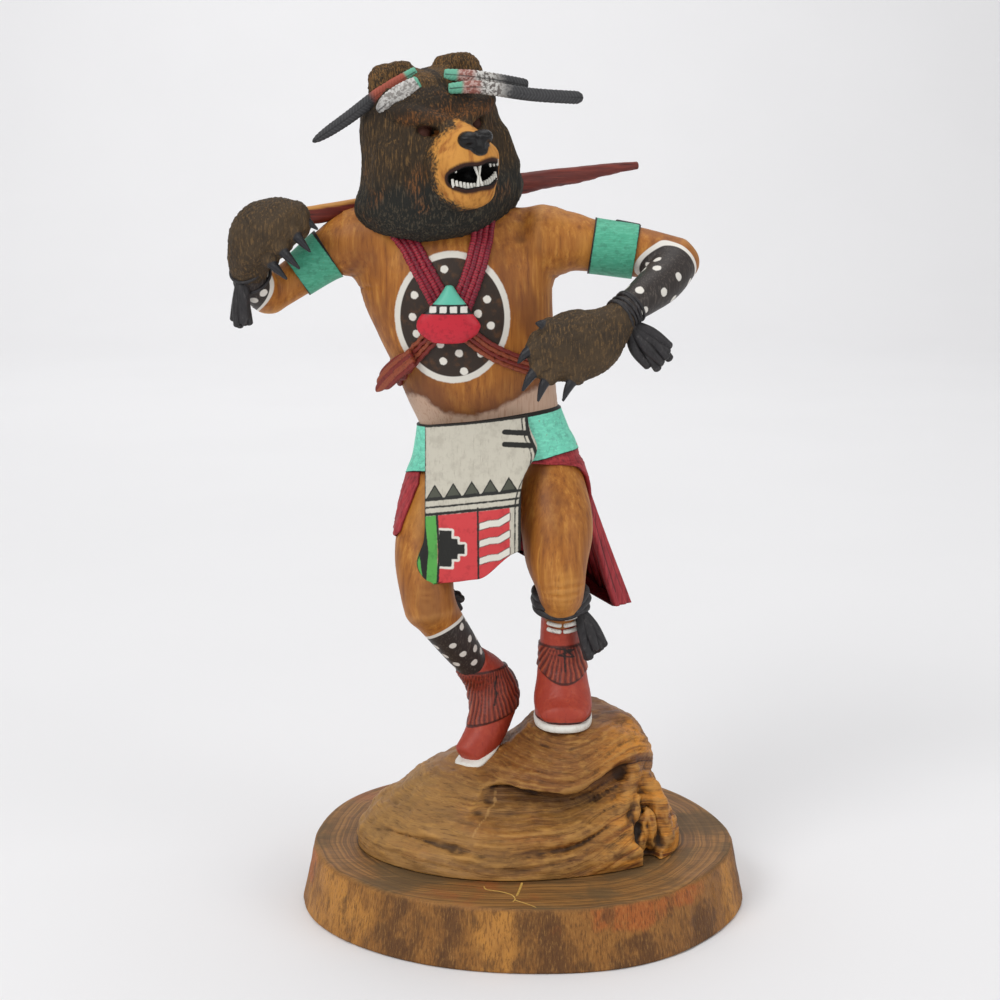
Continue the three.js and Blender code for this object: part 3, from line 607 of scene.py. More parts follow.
def carve_head():
    block = Block((-46, -40, -36), (46, 46, 54), 0.63)
    ahead, up = (0, 0, 1), (0, 1, 0)
    block.add(block.limb(MASK, ahead, start=0.25, end=0.4))
    block.add(block.limb(MUZZLE, up, start=0.5, end=0.5), 4)
    bridge = [[-0.5, 9, 18, 8, 7], [-0.5, 6.5, 30, 7, 6], [-0.8, 3, 41, 6.5, 5]]
    block.add(block.limb(bridge, up), 3)
    for side in (-1, 1):
        brow = [[side * 5, 12, 25.4, 3, 3.4], [side * 12, 15.6, 24, 3.8, 4], [side * 21, 19, 16, 4, 4]]
        block.add(block.limb(brow, ahead), 2.4)
        block.add(block.limb([[side * 6 - 1, -2.6, 38, 7, 5.6], [side * 9 - 1, -6, 30, 7, 8]], up), 2)
        cheek = [[side * 22, 2, 12, 8, 8], [side * 26, -10, 10, 8, 9]]
        block.add(block.limb(cheek, ahead), 5)
        ear = [[side * EAR_SPREAD, *row] for row in EAR]
        block.add(block.limb(ear, ahead, start=0, end=0.3), 2)
        cup = [[side * EAR_SPREAD, 30, 9.4, 6.6, 2.8], [side * EAR_SPREAD, 35, 8.2, 5.4, 2.4]]
        block.cut(block.limb(cup, ahead), 1.2)
    for x, y, z in EYES:
        slant = 0.28 * math.copysign(1, -x)
        block.cut(block.ball((x, y, z + 3.2), (5.2, 2.2, 4.4), turned_flat(slant)), 1.2)
        block.add(block.ball((x, y - 0.2, z - 0.3), 2.7), 0.4)
    block.add(block.ball((-1, -18, 35), (9.6, 5.4, 9)), 3)
    block.cut(block.limb(MOUTH, ahead), 0.8)
    for side in NOSE_LOBES:
        block.add(block.ball((side, 5.5, 43.2), (4.1, 3.3, 4.2)), 1.0)
    block.add(block.ball((NOSE_LINE, 2.2, 43.8), (3.4, 4.0, 3.3)), 1.4)
    for side in (-4, 5.2):
        block.cut(block.ball((side, 2.6, 47.2), (1.4, 1.7, 2.2)), 0.7)
    points, quads = block.surface()
    side, height, ahead_by = points.T
    muzzle = np.hypot((side + 1) / 14.6, (height + 6.4) / 17.2) - 1
    bridge_patch = np.hypot((side + 0.5) / (5.4 - 0.12 * height), (height - 5) / 8.5) - 1
    tan = np.maximum(np.minimum(muzzle * 14, bridge_patch * 6), 19.5 - ahead_by)
    lobes = [(lobe, 5.3, 43.6) for lobe in NOSE_LOBES]
    tip = np.maximum(near_points(points, [(NOSE_LINE, 2.0, 44)], 4.7), 39.5 - ahead_by)
    nose = np.minimum(near_points(points, lobes, 4.5), tip)
    lips = block.twin()
    lips.add(lips.limb(MOUTH, ahead))
    mouth = lips.distance(points)
    eye = near_points(points, EYES, 3.2)
    normals = normals_of(points, quads)
    furry = smoothstep(-1, 4, tan) * smoothstep(0.3, 2.5, eye)
    crown = smoothstep(17, 24, height)[:, None]
    down = fur_height(points, 0.75, 1, 0.55)
    back = fur_height(points, 0.75, 2, 0.35)
    relief = down * (1 - crown[:, 0]) + back * crown[:, 0]
    bald = 0.1 * layered_noise(points * np.array([1.1, 0.3, 1.1]), 2)
    smooth_parts = smoothstep(0, 1, nose) * smoothstep(0, 1.2, mouth)
    points = points + normals * (relief * furry + bald * (1 - furry) * smooth_parts)[:, None]
    marks = {
        "tan": tan, "nose": nose, "mouth": mouth, "eye": eye, "height": height, "ahead": ahead_by,
        "ear": smoothstep(26, 31, height) * smoothstep(15, 11, np.abs(np.abs(side) - EAR_SPREAD)),
        "hollow": hollows(points, quads),
    }
    return from_head(points), quads, marks


def fur_look(name):
    look = Look(name)
    look.base((56, 43, 27))
    strokes = look.noise((1150.0, 1150.0, 190.0), 4, 0.7)
    fine = look.noise((2600.0, 2600.0, 380.0), 2, 0.6)
    look.over(strokes, 0.5, 0.66, (114, 86, 50), 0.9)
    look.over(strokes, 0.46, 0.32, (31, 24, 17), 0.8)
    look.over(fine, 0.54, 0.7, (30, 24, 18), 0.75)
    look.bump(fine, 0.3, 0.8)
    return look, strokes, fine


def head_look():
    look, strokes, fine = fur_look("bear_fur")
    height, patches = look.attribute("height"), look.noise(60.0, 3)
    ruff = look.between(look.plus(height, look.times(patches, 14.0)), 2, -8)
    look.over(strokes, 0.62, 0.5, (32, 32, 28), within=ruff)
    look.over(strokes, 0.5, 0.64, (70, 67, 57), within=ruff)
    rust = look.between(patches, 0.52, 0.72, 0, 0.7)
    look.over(strokes, 0.46, 0.62, (134, 82, 40), within=rust)
    look.over(fine, 0.5, 0.62, (138, 98, 50), 0.8, look.attribute("ear"))
    brow = look.times(look.between(height, 12, 15), look.between(height, 22, 18))
    brow = look.times(brow, look.between("ahead", 17, 22))
    look.lay(look.times(brow, look.between(strokes, 0.46, 0.62, 0.05, 0.6)), (140, 82, 34))
    forehead = look.times(look.between(height, 15, 20), look.between("ear", 0.6, 0.2))
    look.lay(look.times(forehead, look.between(strokes, 0.66, 0.5, 0.25, 0.85)), (36, 27, 17))
    # Painted shade: the fur goes near black in the mask's creases and hollows.
    look.over("hollow", 0.1, 0.7, (20, 16, 12), 0.75)
    tan = look.inside("tan", 0.7, 3.0)
    look.lay(tan, (208, 146, 68))
    grain = look.noise((300.0, 300.0, 60.0), 4)
    look.over(grain, 0.42, 0.7, (160, 98, 42), within=tan)
    shade = look.between("hollow", 0.05, 0.5, 0, 0.8)
    look.lay(look.times(tan, shade), (110, 62, 28))
    look.over("mouth", 1.9, 1.1, (50, 26, 18))
    look.over("mouth", 0.5, 0.1, (8, 7, 7))
    look.lay(look.inside("nose", 0.3, 0.4), (20, 19, 20))
    look.lay(look.inside("eye", 0.1, 0.2), (66, 33, 22))
    gloss = look.between("nose", 0.3, -0.3, 0.72, 0.2)
    return look.finish(gloss, 0.3)


TOOTH_WHITE = (222, 220, 212)


def teeth():
    """A row of small lower teeth, upper points, and the fangs that meet in the middle of the mouth."""
    ahead_axis = (0, 0, 1)
    parts = []
    for side in np.concatenate([np.linspace(-10.8, -2.6, 7), np.linspace(1.0, 9.0, 7)]):
        ahead = 43.6 - 0.035 * (side + 1) ** 2
        foot = -14.6 + 0.03 * (side + 1) ** 2
        spike = [[side, foot - 1.2, ahead, 0.72, 0.9], [side, foot + 1.7, ahead, 0.6, 0.6]]
        parts.append(sweep(spike, ahead_axis))
    for side in (-9.5, 6.5, 8.2, 9.8):
        parts.append(sweep([[side, -4.6, 41.6, 0.8, 0.8], [side, -7, 41.8, 0.45, 0.5]], ahead_axis))
    fangs = [
        (-2.2, -4.6, -1.2, -9.8), (0.4, -4.6, -0.6, -9.8), (-1.9, -15.2, -1.1, -9.6),
        (0.2, -15.2, -0.6, -9.6),
    ]
    for side, root, tip_side, tip in fangs:
        parts.append(sweep([[side, root, 44.8, 0.85, 1.0], [tip_side, tip, 45.1, 0.32, 0.5]], ahead_axis))
    points, quads = together(parts)
    return from_head(points), quads


def tooth_look():
    look = Look("tooth_white")
    look.base(TOOTH_WHITE)
    look.over(look.noise(900.0), 0.5, 0.75, (186, 180, 166))
    look.bump(look.noise(1500.0), 0.05)
    return look.finish(0.35)


# Skin: torso, arms and legs

def carve_body():
    block = Block((-126, -48, 96), (84, 32, 318), 0.9)
    block.add(block.limb(TORSO, end=0.4))
    block.add(block.limb(NECK), 4)
    block.add(block.limb(RIGHT_ARM), 6)
    block.add(block.limb(LEFT_ARM), 6)
    block.add(block.limb(RIGHT_FOREARM), 2)
    block.add(block.limb(LEFT_FOREARM), 2)
    block.add(block.limb(RIGHT_THIGH), 3)
    block.add(block.limb(LEFT_THIGH), 3)
    block.add(block.limb(RIGHT_CALF, end=0), 3)
    block.add(block.limb(LEFT_CALF, end=0), 2)
    return block


ROUNDEL_DOTS = [
    (-47.8, 277), (-48.7, 267.6), (-34.9, 288.1), (-24.7, 275.7), (-16.6, 275.3), (-20.4, 269.3),
    (-14.9, 264.1), (-47.1, 260.3), (-36.8, 256), (-28.6, 252.1), (-19.2, 252.1),
    (-35.5, 248.6), (-26.5, 244.3),
]
CALF_DOTS = [
    (-27.8, 131.7), (-24.3, 124.9), (-31.8, 123.1), (-39.3, 121.7), (-27.4, 118), (-22.1, 119.4),
    (-35.4, 116.6), (-30.5, 112.1), (-22.5, 112.5),
]
LEFT_CUFF_DOTS = [(55.8, 289.1), (65.3, 285.3), (47.8, 280.6), (58.5, 279.3), (50, 272)]
RIGHT_CUFF_DOTS = [(-113.2, 285.3), (-112.6, 278), (-117, 274.6)]


def first_place(body, line, inside):
    """The first point of a line that is inside the body, or else outside it."""
    reached = (body.distance(line) < 0) == inside
    return line[np.argmax(reached)]


def on_front(body, centres):
    """Places (x, z) seen from the front, as points on the body's surface."""
    y = np.arange(-46, 30, 0.25)
    lines = [np.stack([np.full(len(y), x), y, np.full(len(y), z)], axis=1) for x, z in centres]
    return [first_place(body, line, True) for line in lines]


def all_round(body, placed, start, end, rows, count, gap=4.6):
    """The placed dots, and more round the sides and back of a limb from start to end, where none is near."""
    start, end = np.array(start, float), np.array(end, float)
    along = unit(end - start)
    wide = unit(np.cross(along, (0, -1, 0)))
    deep = np.cross(along, wide)
    reach = np.arange(2, 18, 0.25)[:, None]
    placed = list(placed)
    for row in range(rows):
        centre = start + (end - start) * (row + 0.5) / rows
        for k in range(count):
            angle = 2 * math.pi * (k + 0.5 * (row % 2)) / count
            away = math.cos(angle) * wide + math.sin(angle) * deep
            place = first_place(body, centre + reach * away, False)
            if away[1] > -0.35 and min(np.linalg.norm(place - other) for other in placed) > gap:
                placed.append(place)
    return placed


def body_marks(body, points):
    x, y, z = points.T
    far = 9.0
    front = (y < -8) & (x > -72) & (x < 12) & (z > 225)
    roundel = (np.hypot((x + 31.6) / 25, (z - 267.4) / 28.4) - 1) * 26
    dots = near_points(points, on_front(body, ROUNDEL_DOTS), 1.75)
    calf = (x < -12) & (z < 142) & (y < 8)
    calf_run = (x + 41) * 0.49 - (z - 140) * 0.87 - 10.5
    calf_places = all_round(body, on_front(body, CALF_DOTS), (-36, -22, 131.5), (-22.5, -5, 107.5), 5, 8)
    calf_dots = near_points(points, calf_places, 1.7)
    to_upper = from_line(points, (29, -1, 297), (66.5, -4, 291))
    to_fore = from_line(points, (67, -5, 290.5), (41.5, -38, 271.5))
    by_limb = 0.8 * (to_upper - to_fore) + 1.2
    by_length = (x - 67) * -0.557 + (y + 5) * -0.72 + (z - 290.5) * -0.415 - 2
    left_run = np.minimum(by_limb, by_length) - np.maximum(5 - np.abs(by_limb - by_length), 0) ** 2 / 20
    right_run = -x - 109.2 - 0.055 * (z - 281) ** 2
    cuff = np.where(x > 36, left_run, np.where(x < -100, right_run, -far))
    cuff_places = all_round(body, on_front(body, LEFT_CUFF_DOTS), (65, -10, 289), (45, -34, 274), 5, 7, 7.0)
    right_dots = on_front(body, RIGHT_CUFF_DOTS)
    cuff_places += all_round(body, right_dots, (-113, -7, 277.5), (-118, -19, 285.5), 2, 7)
    cuff_dots = near_points(points, cuff_places, 1.9)
    belly = z - (219 + 0.2 * (x + 48)) - 7 * smoothstep(-34, -48, x) + 7.5 * hump(x, -20, 18)
    return {
        "roundel": np.where(front, roundel, far),
        "roundel_dots": np.where(front, dots, far),
        "sleeve": np.where(calf, calf_run, np.where((x > 36) | (x < -100), cuff, -far)),
        "sleeve_dots": np.where(calf, calf_dots, np.where(np.abs(x) > 36, cuff_dots, far)),
        "belly": np.where((y < 0) & (z > 205) & (x > -70) & (x < 24), belly, 40),
    }


def skin_colour(look):
    streaks = look.noise((420.0, 420.0, 34.0), 5, 0.62)
    fine = look.noise((1500.0, 1500.0, 70.0), 3, 0.6)
    clouds = look.noise((45.0, 45.0, 24.0), 3)
    look.base((166, 102, 38))
    look.over(streaks, 0.48, 0.7, (192, 130, 56))
    look.over(streaks, 0.5, 0.3, (124, 68, 25), 0.8)
    look.over(fine, 0.56, 0.72, (108, 60, 26), 0.55)
    look.over(clouds, 0.48, 0.68, (120, 68, 32), 0.75)
    look.over(clouds, 0.44, 0.34, (194, 132, 52), 0.45)
    # Painted shade: the wood darkens in creases, where the limbs meet; raised edges are made lighter.
    look.over("hollow", 0.05, 0.6, (70, 38, 18), 0.85)
    look.over("hollow", -0.1, -0.5, (214, 156, 84), 0.35)
    look.bump(fine, 0.12, 0.5).bump(streaks, 0.2, 0.4)
    return streaks, fine


def skin_look():
    look = Look("stained_wood")
    streaks, fine = skin_colour(look)
    worn = look.noise(260.0, 4)
    belly = look.attribute("belly")
    ragged = look.plus(belly, look.times(worn, 5.0))
    # Painted shade: the belly is darkened in a broad band above the belt.
    look.over(ragged, 26, 11, (108, 62, 34), 0.5)
    look.over(ragged, 14, 8, (88, 50, 30))
    look.over(ragged, 11.5, 8.5, (192, 160, 138))
    look.over(fine, 0.5, 0.7, (160, 118, 92), 0.6, look.between(ragged, 11.5, 8.5))
    disc = look.inside("roundel", 0.3, 0.6)
    look.lay(disc, (222, 218, 208))
    inner = look.between(look.plus("roundel", 2.6), 0.25, -0.25)
    look.lay(inner, (50, 38, 30))
    look.over(worn, 0.5, 0.75, (84, 56, 34), within=inner)
    look.lay(look.times(inner, look.inside("roundel_dots", 0.25, 0.7)), (228, 224, 214))
    sleeve = look.attribute("sleeve")
    dark = look.between(sleeve, -0.2, 0.2)
    look.lay(dark, (48, 42, 40))
    look.over(fine, 0.5, 0.7, (84, 76, 70), within=dark)
    look.lay(look.times(dark, look.inside("sleeve_dots", 0.25, 0.6)), (226, 222, 214))
    edge = look.between(look.math("ABSOLUTE", sleeve), 0.95, 0.6)
    look.lay(edge, (226, 222, 214))
    return look.finish(0.52, 0.35)


# Paws

def carve_paw(arm, claws, low, high):
    block = Block(low, high, 0.55)
    block.add(block.limb(arm, start=0))
    centre = np.mean(np.array(arm)[2:4, :3], axis=0)
    nails = block.twin()
    for claw in claws:
        root, tip = np.array(claw[:3], float), np.array(claw[3:], float)
        knuckle = root + (centre - root) * 0.35
        toe = root + (tip - root) * 0.22
        block.add(block.limb([[*knuckle, 5.0, 5.0], [*toe, 3.7, 3.7]]), 1.2)
        bow = (root + tip) / 2 + np.array([-0.6, -0.8, 0.4])
        nails.add(nails.limb([[*root, 2.6, 2.6], [*bow, 2.0, 2.0], [*tip, 0.6, 0.6]]), 0.3)
    block.add(nails.whole(), 0.4)
    points, quads = block.surface()
    nail = nails.distance(points)
    direction = unit(np.array(arm)[-1, :3] - np.array(arm)[0, :3])
    across = unit(np.cross(direction, (0, -1, 0)))
    local = np.stack([points @ across, points @ direction, points @ np.cross(direction, across)], axis=1)
    hairy = smoothstep(0.2, 1.2, nail)
    relief = fur_height(local, 0.85, 1, 0.3)
    points = points + normals_of(points, quads) * (relief * hairy)[:, None]
    return points, quads, {"nail": nail, "hollow": hollows(points, quads, 8)}


def paw_look():
    look, _, _ = fur_look("paw_fur")
    look.lay(look.between(look.noise(45.0, 3), 0.42, 0.66, 0.05, 0.42), (92, 72, 46))
    # Painted shade: the paw's fur goes near black in its creases and between the toes.
    look.over("hollow", 0.05, 0.5, (22, 17, 13), 0.8)
    look.over("nail", 0.35, 0.05, (36, 36, 40))
    gloss = look.between("nail", 0.35, 0.05, 0.7, 0.35)
    return look.finish(gloss)


# Dress: belt, armbands, sash flap, back cloth

def belt(body):
    sides, last = 160, 24
    points, quads = sweep(BELT, sides=sides, steps=12, start=0, end=0, grow=1.0)
    row = np.minimum(np.arange(len(points)) // sides, last)
    points[:, 2] -= BELT_SAG * (1 - row / last) * smoothstep(-12, -48, points[:, 0])
    lift = 1.8 - 0.6 * row / last
    points = points + body.slope(points) * np.maximum(lift - body.distance(points), 0)[:, None]
    edge = np.minimum(row, last - row) * 0.83
    return points, quads, {"edge": edge - 0.6}


def armband(stations, first, last):
    rows = through_rows(stations, 12)
    count = len(rows) - 1
    rows = rows[round(count * first) : round(count * last) + 1]
    points, quads = sweep(rows, sides=72, steps=3, start=0, end=0, grow=1.0)
    along = unit(rows[-1, :3] - rows[0, :3])
    run = (points - rows[0, :3]) @ along
    edge = np.minimum(np.abs(run), np.abs(run - run.max()))
    return points, quads, {"edge": edge - 0.9}


def band_look(name, colour):
    look = Look(name)
    brushed = look.noise((300.0, 300.0, 1400.0), 4, 0.6)
    worn = look.noise(420.0, 4, 0.65)
    look.base(colour)
    look.over(brushed, 0.4, 0.7, tuple(min(255, c + 30) for c in colour), 0.6)
    look.over(worn, 0.5, 0.38, tuple(int(c * 0.72) for c in colour), 0.4)
    look.over(worn, 0.66, 0.74, (150, 108, 66), 0.7)
    look.lay(look.inside("edge", 0.25, 0.6), (26, 22, 20))
    look.bump(brushed, 0.12, 0.6)
    return look.finish(0.55)


def flap_sides(down):
    """The x of the flap's left and right edge, by the share of the way down."""
    left = -43.6 + 0.2 * down - 3.6 * hump(down, 0.85, 0.1)
    right = 0.9 + 5.6 * hump(down, 0.27, 0.14) - 2.9 * smoothstep(0, 0.55, down)
    return left, right


def sash_flap():
    across, down, thickness = 110, 150, 3.0
    u, v = np.meshgrid(np.linspace(0, 1, across + 1), np.linspace(0, 1, down + 1))
    left, right = flap_sides(v)
    x = left + (right - left) * u
    curve = ((x + 22) / 22) ** 2
    y = -27.5 - 13 * smoothstep(0, 0.75, v) + (4 - 2.5 * v) * curve
    y = y - 0.5 * np.sin(u * 9 + v * 3) * v - 0.35 * np.sin(u * 21 + 1) * v * v
    z = 222.6 - 2.1 * v - 64.5 * v * (1 - 0.15 * smoothstep(0.55, 1.0, u)) + (x + 23) * (0.1 + 0.04 * v)
    face = np.stack([x, y, z], axis=-1)
    back = face + np.array([0, thickness, 0])
    round_off = 0.7 * (np.exp(-u / 0.012) + np.exp(-(1 - u) / 0.012))
    face[..., 1] += round_off
    points, quads = loft(np.concatenate([face, back[:, ::-1]], axis=1))
    return points, quads, flap_marks(points)


def flap_marks(points):
    """The sash's pattern: bars, a row of teeth, lines, and a panel with a stepped figure and wavy stripes."""
    x, y, z = points.T
    down = (220.5 - z + 0.14 * (x + 23)) / 64.5
    left, right = flap_sides(down)
    bars = [in_line(x, z, [(-9, top), (end, top - 0.8)], 1.15) for top, end in ((218.4, 0.6), (213.2, 2.4))]
    foot = 189.6 + 0.115 * (x + 44)
    along = (x + 43.2) / 8.0
    tooth = np.abs(along - np.floor(along) - 0.5) * 2
    triangles = np.maximum(z - foot - 6.2 * (1 - tooth), foot - z) * 0.8
    triangles = np.where((along > 0) & (along < 5), triangles, 9)
    lines = [np.abs(z - foot + drop) - half for drop, half in ((0.0, 0.55), (3.1, 0.4), (6.0, 0.6))]
    steps = [
        (-37.2, 177.4), (-31.8, 177.4), (-31.8, 174), (-29.2, 174), (-29.2, 171.6), (-26.2, 171.6),
        (-26.2, 167.4), (-29.2, 167.4), (-29.2, 165), (-31.8, 165), (-31.8, 161.6), (-37.2, 161.6),
    ]
    motif = in_polygon(x, z, steps)
    leaf_corners = [(-44.6, 184), (-43.6, 184), (-41.8, 168), (-43, 154), (-44.2, 154), (-45.8, 167)]
    uprights = [
        in_polygon(x, z, leaf_corners),
        in_line(x, z, [(-38.2, 184), (-37.2, 168), (-38.2, 150)], 0.5),
        in_line(x, z, [(-20.6, 187), (-20.2, 150)], 0.4),
    ]
    edges = [np.abs(right - x - 0.5) - 0.75, np.abs(x - left - 0.1) - 0.3]
    edges.append(222.6 + 0.1 * (x + 23) - z - 0.7)
    inner = np.abs(right - x - 2.6) - 0.3
    panel = foot - 6.6
    red = np.maximum.reduce([z - panel, -38 - x, x + 6.8])
    green = np.maximum.reduce([z - panel, -60 - x, x + 38])
    stripes = np.minimum.reduce([
        in_line(x, z, [(-20.2, h - 1.8), (-15.5, h - 0.4), (-11.5, h - 0.2), (-6.8, h + 2.6)], 1.5)
        for h in (181, 173.6, 166)
    ])
    stripes = np.maximum(stripes, np.maximum(-20 - x, x + 6.6))
    return {
        "black": np.minimum.reduce([*bars, triangles, *lines, motif, *uprights, *edges, inner]),
        "red": red, "green": green, "white": np.minimum(stripes, np.maximum(motif - 1.0, -37.6 - x)),
        "outline": np.abs(stripes) - 0.05,
        "teeth": triangles + 0.75,
    }


def flap_look():
    look = Look("sash_paint")
    brushed = look.noise((1300.0, 300.0, 220.0), 4, 0.6)
    worn = look.noise(240.0, 4, 0.65)
    look.base((200, 195, 180))
    look.over(worn, 0.45, 0.7, (176, 170, 156), 0.6)
    look.over(brushed, 0.55, 0.72, (150, 142, 128), 0.45)
    red = look.inside("red", 0.3, 0.5)
    look.lay(red, (206, 62, 66))
    look.over(worn, 0.5, 0.68, (172, 44, 50), 0.6, red)
    green = look.inside("green", 0.3, 0.5)
    look.lay(green, (86, 166, 76))
    look.over(worn, 0.5, 0.68, (58, 126, 58), 0.6, green)
    look.lay(look.inside("white", 0.25, 0.6), (224, 220, 210))
    look.over("outline", 0.3, 0.1, (66, 32, 30), 0.75)
    look.lay(look.inside("black", 0.22, 0.55), (28, 28, 25))
    look.lay(look.inside("teeth", 0.25, 0.5), (74, 76, 64))
    look.bump(brushed, 0.15, 0.6).bump(worn, 0.2, 0.3)
    return look.finish(0.6)


def back_cloth(body):
    """A cloth round the back and sides of the hips. It lies on the thighs where they push it out."""
    across, down, thickness = 230, 70, 2.2
    u, v = np.meshgrid(np.linspace(0, 1, across + 1), np.linspace(0, 1, down + 1))
    first = math.pi + np.interp(v, (0, 0.3, 0.6, 0.9, 1), (0.62, 0.82, 0.89, 0.94, 0.9))
    last = -np.interp(v, (0, 0.085, 0.12, 0.2, 0.385, 0.6, 1), (1.3, 1.2, 0.62, 0.42, 0.34, 0.29, 0.3))
    angle = first + (last - first) * u
    fold = 1 + 0.05 * np.sin(9 * angle + 0.6) * smoothstep(0, 1, v)
    pleat = 0.5 * np.sin(46 * angle) * smoothstep(0.05, 0.6, v)
    hem = 161 - 28 * smoothstep(0, 1, np.cos(angle)) + 16 * smoothstep(0, 1, -np.cos(angle))
    top = 207 + 4.5 * np.cos(angle)
    middle = np.stack([-13 + 9 * v, 12 * v, top + (hem - top) * v], axis=-1)
    widening = 15 - 2.4 * smoothstep(0, 1, -np.cos(angle))
    arm_x = ((36 + widening * v**1.3) * fold + pleat) * np.cos(angle)
    arm_y = ((24.5 + 2.5 * v) * fold + pleat) * np.sin(angle)
    arm = np.stack([arm_x, arm_y, 0 * v], axis=-1)
    reach = np.ones(v.shape)
    lift = 0.4 + (0.9 + 0.3 * np.cos(angle)) * smoothstep(0.04, 0.16, v)
    for share in np.arange(1, 1.84, 0.02):
        covered = body.distance((middle + share * arm).reshape(-1, 3)).reshape(v.shape) < lift
        reach = np.where(covered, share + 0.02, reach)
    for _ in range(3):
        wide = np.pad(reach, 1, mode="edge")
        mean = (wide[:-2, 1:-1] + wide[2:, 1:-1] + wide[1:-1, :-2] + wide[1:-1, 2:]) / 4
        reach = np.maximum(mean, reach - 0.004)
    across_x = middle[..., 0] + arm[..., 0]
    belt_foot = 204.2 + 0.128 * (across_x + 13.6) - BELT_SAG * smoothstep(-12, -48, across_x)
    reach = reach * (1 - 0.12 * smoothstep(0.2, 2.4, middle[..., 2] - belt_foot))
    face = middle + reach[..., None] * arm
    away = units(np.stack([-np.cos(angle), -1.4 * np.sin(angle), 0 * angle], axis=-1))
    points, quads = loft(np.concatenate([face, (face + away * thickness)[:, ::-1]], axis=1))
    return points, quads, {"hollow": hollows(points, quads, 12)}


def cloth_look():
    look = Look("kilt_paint")
    grain = look.noise((900.0, 900.0, 60.0), 4, 0.6)
    worn = look.noise(160.0, 3)
    look.base((158, 44, 52))
    look.over(grain, 0.42, 0.7, (190, 66, 70), 0.7)
    look.over(grain, 0.46, 0.32, (96, 26, 34), 0.8)
    look.over(worn, 0.55, 0.75, (120, 32, 42), 0.5)
    # Painted shade: the cloth darkens in its folds and creases.
    look.over("hollow", 0.05, 0.35, (60, 18, 24), 0.7)
    look.bump(grain, 0.2, 0.7)
    return look.finish(0.6)


# Necklace, pendant and the bands that cross on the chest

LEFT_OF_NECK = [[-57, -12, 309], [-51, -22, 300], [-43, -26.5, 285], [-35, -27.5, 271]]
RIGHT_OF_NECK = [[-17, -13, 314], [-18, -21, 304], [-22, -26, 288], [-28, -27.5, 272]]
TO_LEFT_HIP = [
    [-27, -28, 262], [-16, -26.5, 254], [-5, -22, 248.5], [8, -10, 243.5],
    [14, 3, 244], [0, 19, 258], [-18, 24, 280], [-38, 20, 301], [-44, 14, 313],
]
TO_RIGHT_SIDE = [
    [-38, -26, 262], [-48, -21.5, 251.5], [-60, -9, 238.5], [-59, 6, 243],
    [-42, 20, 256], [-18, 23, 280], [-4, 17, 301], [-13, 13, 314],
]


def strands(body, path, count, pitch, radius, lift, bead=0.0):
    """Parallel strings laid on the carved body along a path."""
    sides = 10
    line = through_rows(path, 16)
    across = np.cross(units(np.gradient(line, axis=0)), body.slope(line))
    parts, runs, numbers = [], [], []
    for k in range(count):
        points = line + across * (k - (count - 1) / 2) * pitch
        for _ in range(3):
            points = points + body.slope(points) * (lift - body.distance(points))[:, None]
        run = np.concatenate([[0], np.cumsum(np.linalg.norm(np.diff(points, axis=0), axis=1))])
        fine = np.arange(0, run[-1], 0.55)
        points = np.stack([np.interp(fine, run, points[:, axis]) for axis in range(3)], axis=1)
        waves = 1 + bead * np.abs(np.sin(fine * math.pi / 2.4 + k * 0.9))
        rows = np.column_stack([points, np.full(len(points), radius), np.full(len(points), radius)])
        made, quads = sweep(rows, sides=sides, steps=1, wave=lambda share, w=waves: w)
        parts.append((made, quads))
        first_cap, last_cap = np.zeros(5 * sides), np.full(5 * sides, fine[-1])
        runs.append(np.concatenate([first_cap, np.repeat(fine, sides), last_cap, [0, fine[-1]]]))
        numbers.append(np.full(len(made), float(k)))
    points, quads = together(parts)
    return points, quads, np.concatenate(runs), np.concatenate(numbers)


def joined(made):
    """Several runs of strands as one form, marked with the way along each strand and its number."""
    points, quads = together([form[:2] for form in made])
    run, strand = (np.concatenate([form[k] for form in made]) for k in (2, 3))
    return points, quads, {"run": run, "strand": strand}


def necklace(body):
    left = strands(body, LEFT_OF_NECK, 4, 2.5, 1.25, 0.7, 0.14)
    right = strands(body, RIGHT_OF_NECK, 4, 2.4, 1.25, 0.7, 0.14)
    return joined([left, right])


BAND_END = [
    [-49, -22, 250, 4.4, 1.3], [-56, -17, 244.5, 5.2, 1.4], [-61.5, -12, 239, 4.6, 1.3],
    [-65.4, -9, 233.8, 0.5, 0.6],
]


def band_end():
    """The free end of the chest bands, a ribbed leaf that stands out from the dancer's right side."""
    points, quads = sweep(BAND_END, (-0.5, -0.8, 0.3), sides=72, steps=24, start=0.4, end=0.4)
    start, tip = np.array(BAND_END[0][:3]), np.array(BAND_END[-1][:3])
    along = unit(tip - start)
    across = np.cross(along, unit((-0.5, -0.8, 0.3)))
    place = (points - start) @ across
    ribs = np.abs(np.sin(place * math.pi / 2.3))
    points = points + normals_of(points, quads) * (0.5 * ribs - 0.3)[:, None]
    return points, quads, (points - start) @ along, np.floor(place / 2.3)


def crossed_bands(body):
    bands = [strands(body, path, 4, 1.9, 1.0, 0.6) for path in (TO_LEFT_HIP, TO_RIGHT_SIDE)]
    return joined([*bands, band_end()])


def strand_look(name, colour, light, ticks):
    look = Look(name)
    worn = look.noise(900.0, 3)
    look.base(colour)
    odd = look.math("FRACT", look.times("strand", 0.5))
    look.over(odd, 0.2, 0.3, light, 0.8)
    look.over(worn, 0.5, 0.72, tuple(int(c * 0.5) for c in colour), 0.6)
    if ticks:
        wave = look.math("FRACT", look.math("DIVIDE", look.attribute("run"), ticks))
        gap = look.math("ABSOLUTE", look.math("SUBTRACT", wave, 0.5))
        look.over(gap, 0.12, 0.04, (24, 12, 16))
    look.bump(worn, 0.15, 0.5)
    return look.finish(0.5)


PENDANT = [
    [-32.6, -26.5, 281, 1.8, 2.6], [-32.6, -27, 277, 4.4, 3.2], [-32.6, -27.5, 272.5, 8.2, 3.6],
    [-33, -27.5, 266, 13.4, 3.8], [-33, -27.5, 261.5, 12.6, 3.6], [-33, -27, 258, 8, 3],
]


